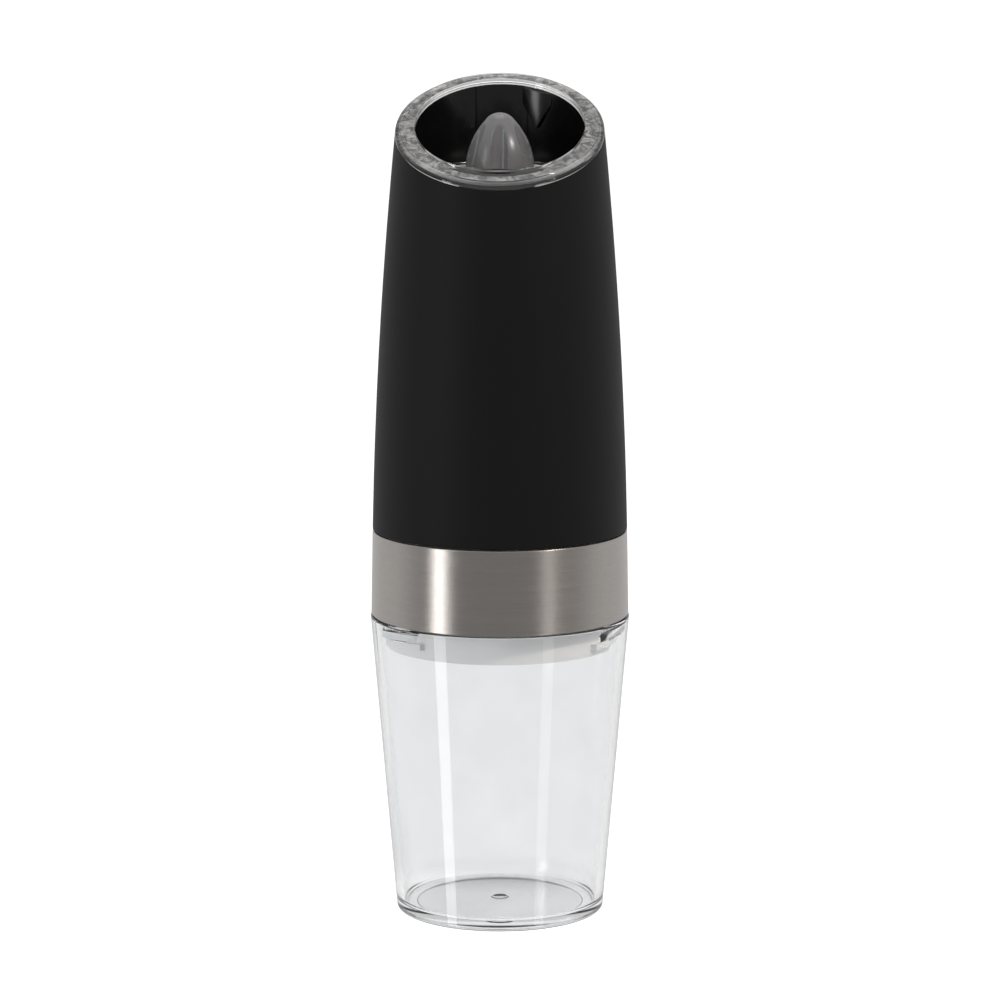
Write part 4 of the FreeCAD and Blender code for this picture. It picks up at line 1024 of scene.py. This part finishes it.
def makeRib(floorTop, high):
    # a flat pointed face is cut in strips, rounded across and bent onto the wall
    look = linerLook
    bore = mouthBore
    rib = bmesh.new()
    halfWidth, point = look["ribWidth"] / 2, floorTop + look["ribPoint"]
    shoulder = point + look["ribShoulder"]
    corners = [rib.verts.new(corner) for corner in (
        (0, 0, point), (halfWidth, 0, shoulder), (halfWidth, 0, high), (-halfWidth, 0, high),
        (-halfWidth, 0, shoulder))]
    rib.faces.new(corners)
    for cut in range(1, look["ribStrips"]):
        place = (halfWidth * (cut / (look["ribStrips"] / 2) - 1), 0, 0)
        bmesh.ops.bisect_plane(rib, geom=everything(rib), dist=cutDistance, plane_co=place,
                               plane_no=(1, 0, 0))
    extruded = bmesh.ops.extrude_face_region(rib, geom=rib.faces[:])
    front = [item for item in extruded["geom"] if isinstance(item, bmesh.types.BMVert)]
    for vert in front:
        across = vert.co.x / halfWidth
        vert.co.y = look["ribDepth"] * (0.2 + 0.8 * max(1 - across * across, 0) ** 0.8)
    for vert in rib.verts:
        turn = math.radians(look["ribAngle"]) - vert.co.x / bore
        radius = bore + look["ribRoot"] - vert.co.y
        vert.co.x, vert.co.y = radius * math.cos(turn), radius * math.sin(turn)
    trimAtMouth(rib, look["rimGap"], fill=True)
    bmesh.ops.recalc_face_normals(rib, faces=rib.faces)
    sharp = [edge for edge in rib.edges if edge.calc_face_angle(0) > 0.7]
    roundEdges(rib, sharp, look["ribRound"], 2)
    finishPiece(rib, "linerRib", "gloss_black", "shell", (), 50)


makeLiner()
print("liner made")


# adjusting knob
knobLook = {
    "steps": 240,
    "rows": 72,
    "flutes": 6,
    "fluteStart": 30.0,
    "fluteRadius": 2.1 * mm,
    "fluteDepth": 1.7 * mm,      # at the foot
    "fluteLean": 1.9 * mm,       # how far the flute's axis comes in towards its top
    "fluteTop": 8.4 * mm,        # where the flute runs out, above the foot
    "blend": 0.28 * mm,
    "footRound": 0.35 * mm,
    "hollow": 5.2 * mm,
    "hollowDepth": 2.0 * mm,
    "tipRadius": 2.0 * mm,       # inside it the dome has no flutes
}


def softLower(first, second, width):
    # the lower of two values, with a rounded change from one to the other
    share = max(width - abs(first - second), 0) / width
    return min(first, second) - share * share * width / 4


def makeKnob():
    look = knobLook
    low, high = (corner.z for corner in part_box("adjusting_knob"))
    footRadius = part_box("adjusting_knob")[1].x
    tall = high - low
    side = []
    for row in range(look["rows"]):
        height = low + 0.2 * mm + (tall - 0.25 * mm) * math.sin(math.pi / 2 * row / look["rows"])
        side.append((surfaceRadius("adjusting_knob", height, angle=0), height))
    shape = outline([(look["hollow"], low + look["hollowDepth"]), (look["hollow"], low),
                     (side[0][0], low), *side, (0, high)], closed=False)
    spinRound(shape, look["steps"])
    for vert in shape.verts:
        radius = math.hypot(vert.co.x, vert.co.y)
        if radius < look["hollow"] and vert.co.z < low + 3 * mm:
            continue
        angle = math.degrees(math.atan2(vert.co.y, vert.co.x)) - look["fluteStart"]
        spacing = 360 / look["flutes"]
        off = math.radians((angle + spacing / 2) % spacing - spacing / 2)
        rise = (vert.co.z - low) / look["fluteTop"]
        axis = footRadius + look["fluteRadius"] - look["fluteDepth"] - look["fluteLean"] * rise
        reach = look["fluteRadius"] ** 2 - (axis * math.sin(off)) ** 2
        if reach <= 0 or radius < look["tipRadius"]:
            continue
        wall = axis * math.cos(off) - math.sqrt(reach)
        fitted = softLower(radius, wall, look["blend"])
        vert.co.x *= fitted / radius
        vert.co.y *= fitted / radius
    finishPiece(shape, "knobDome", "knob_grey", "knob", ["adjusting_knob"], 60)


makeKnob()
print("knob made")

bpy.context.view_layer.update()
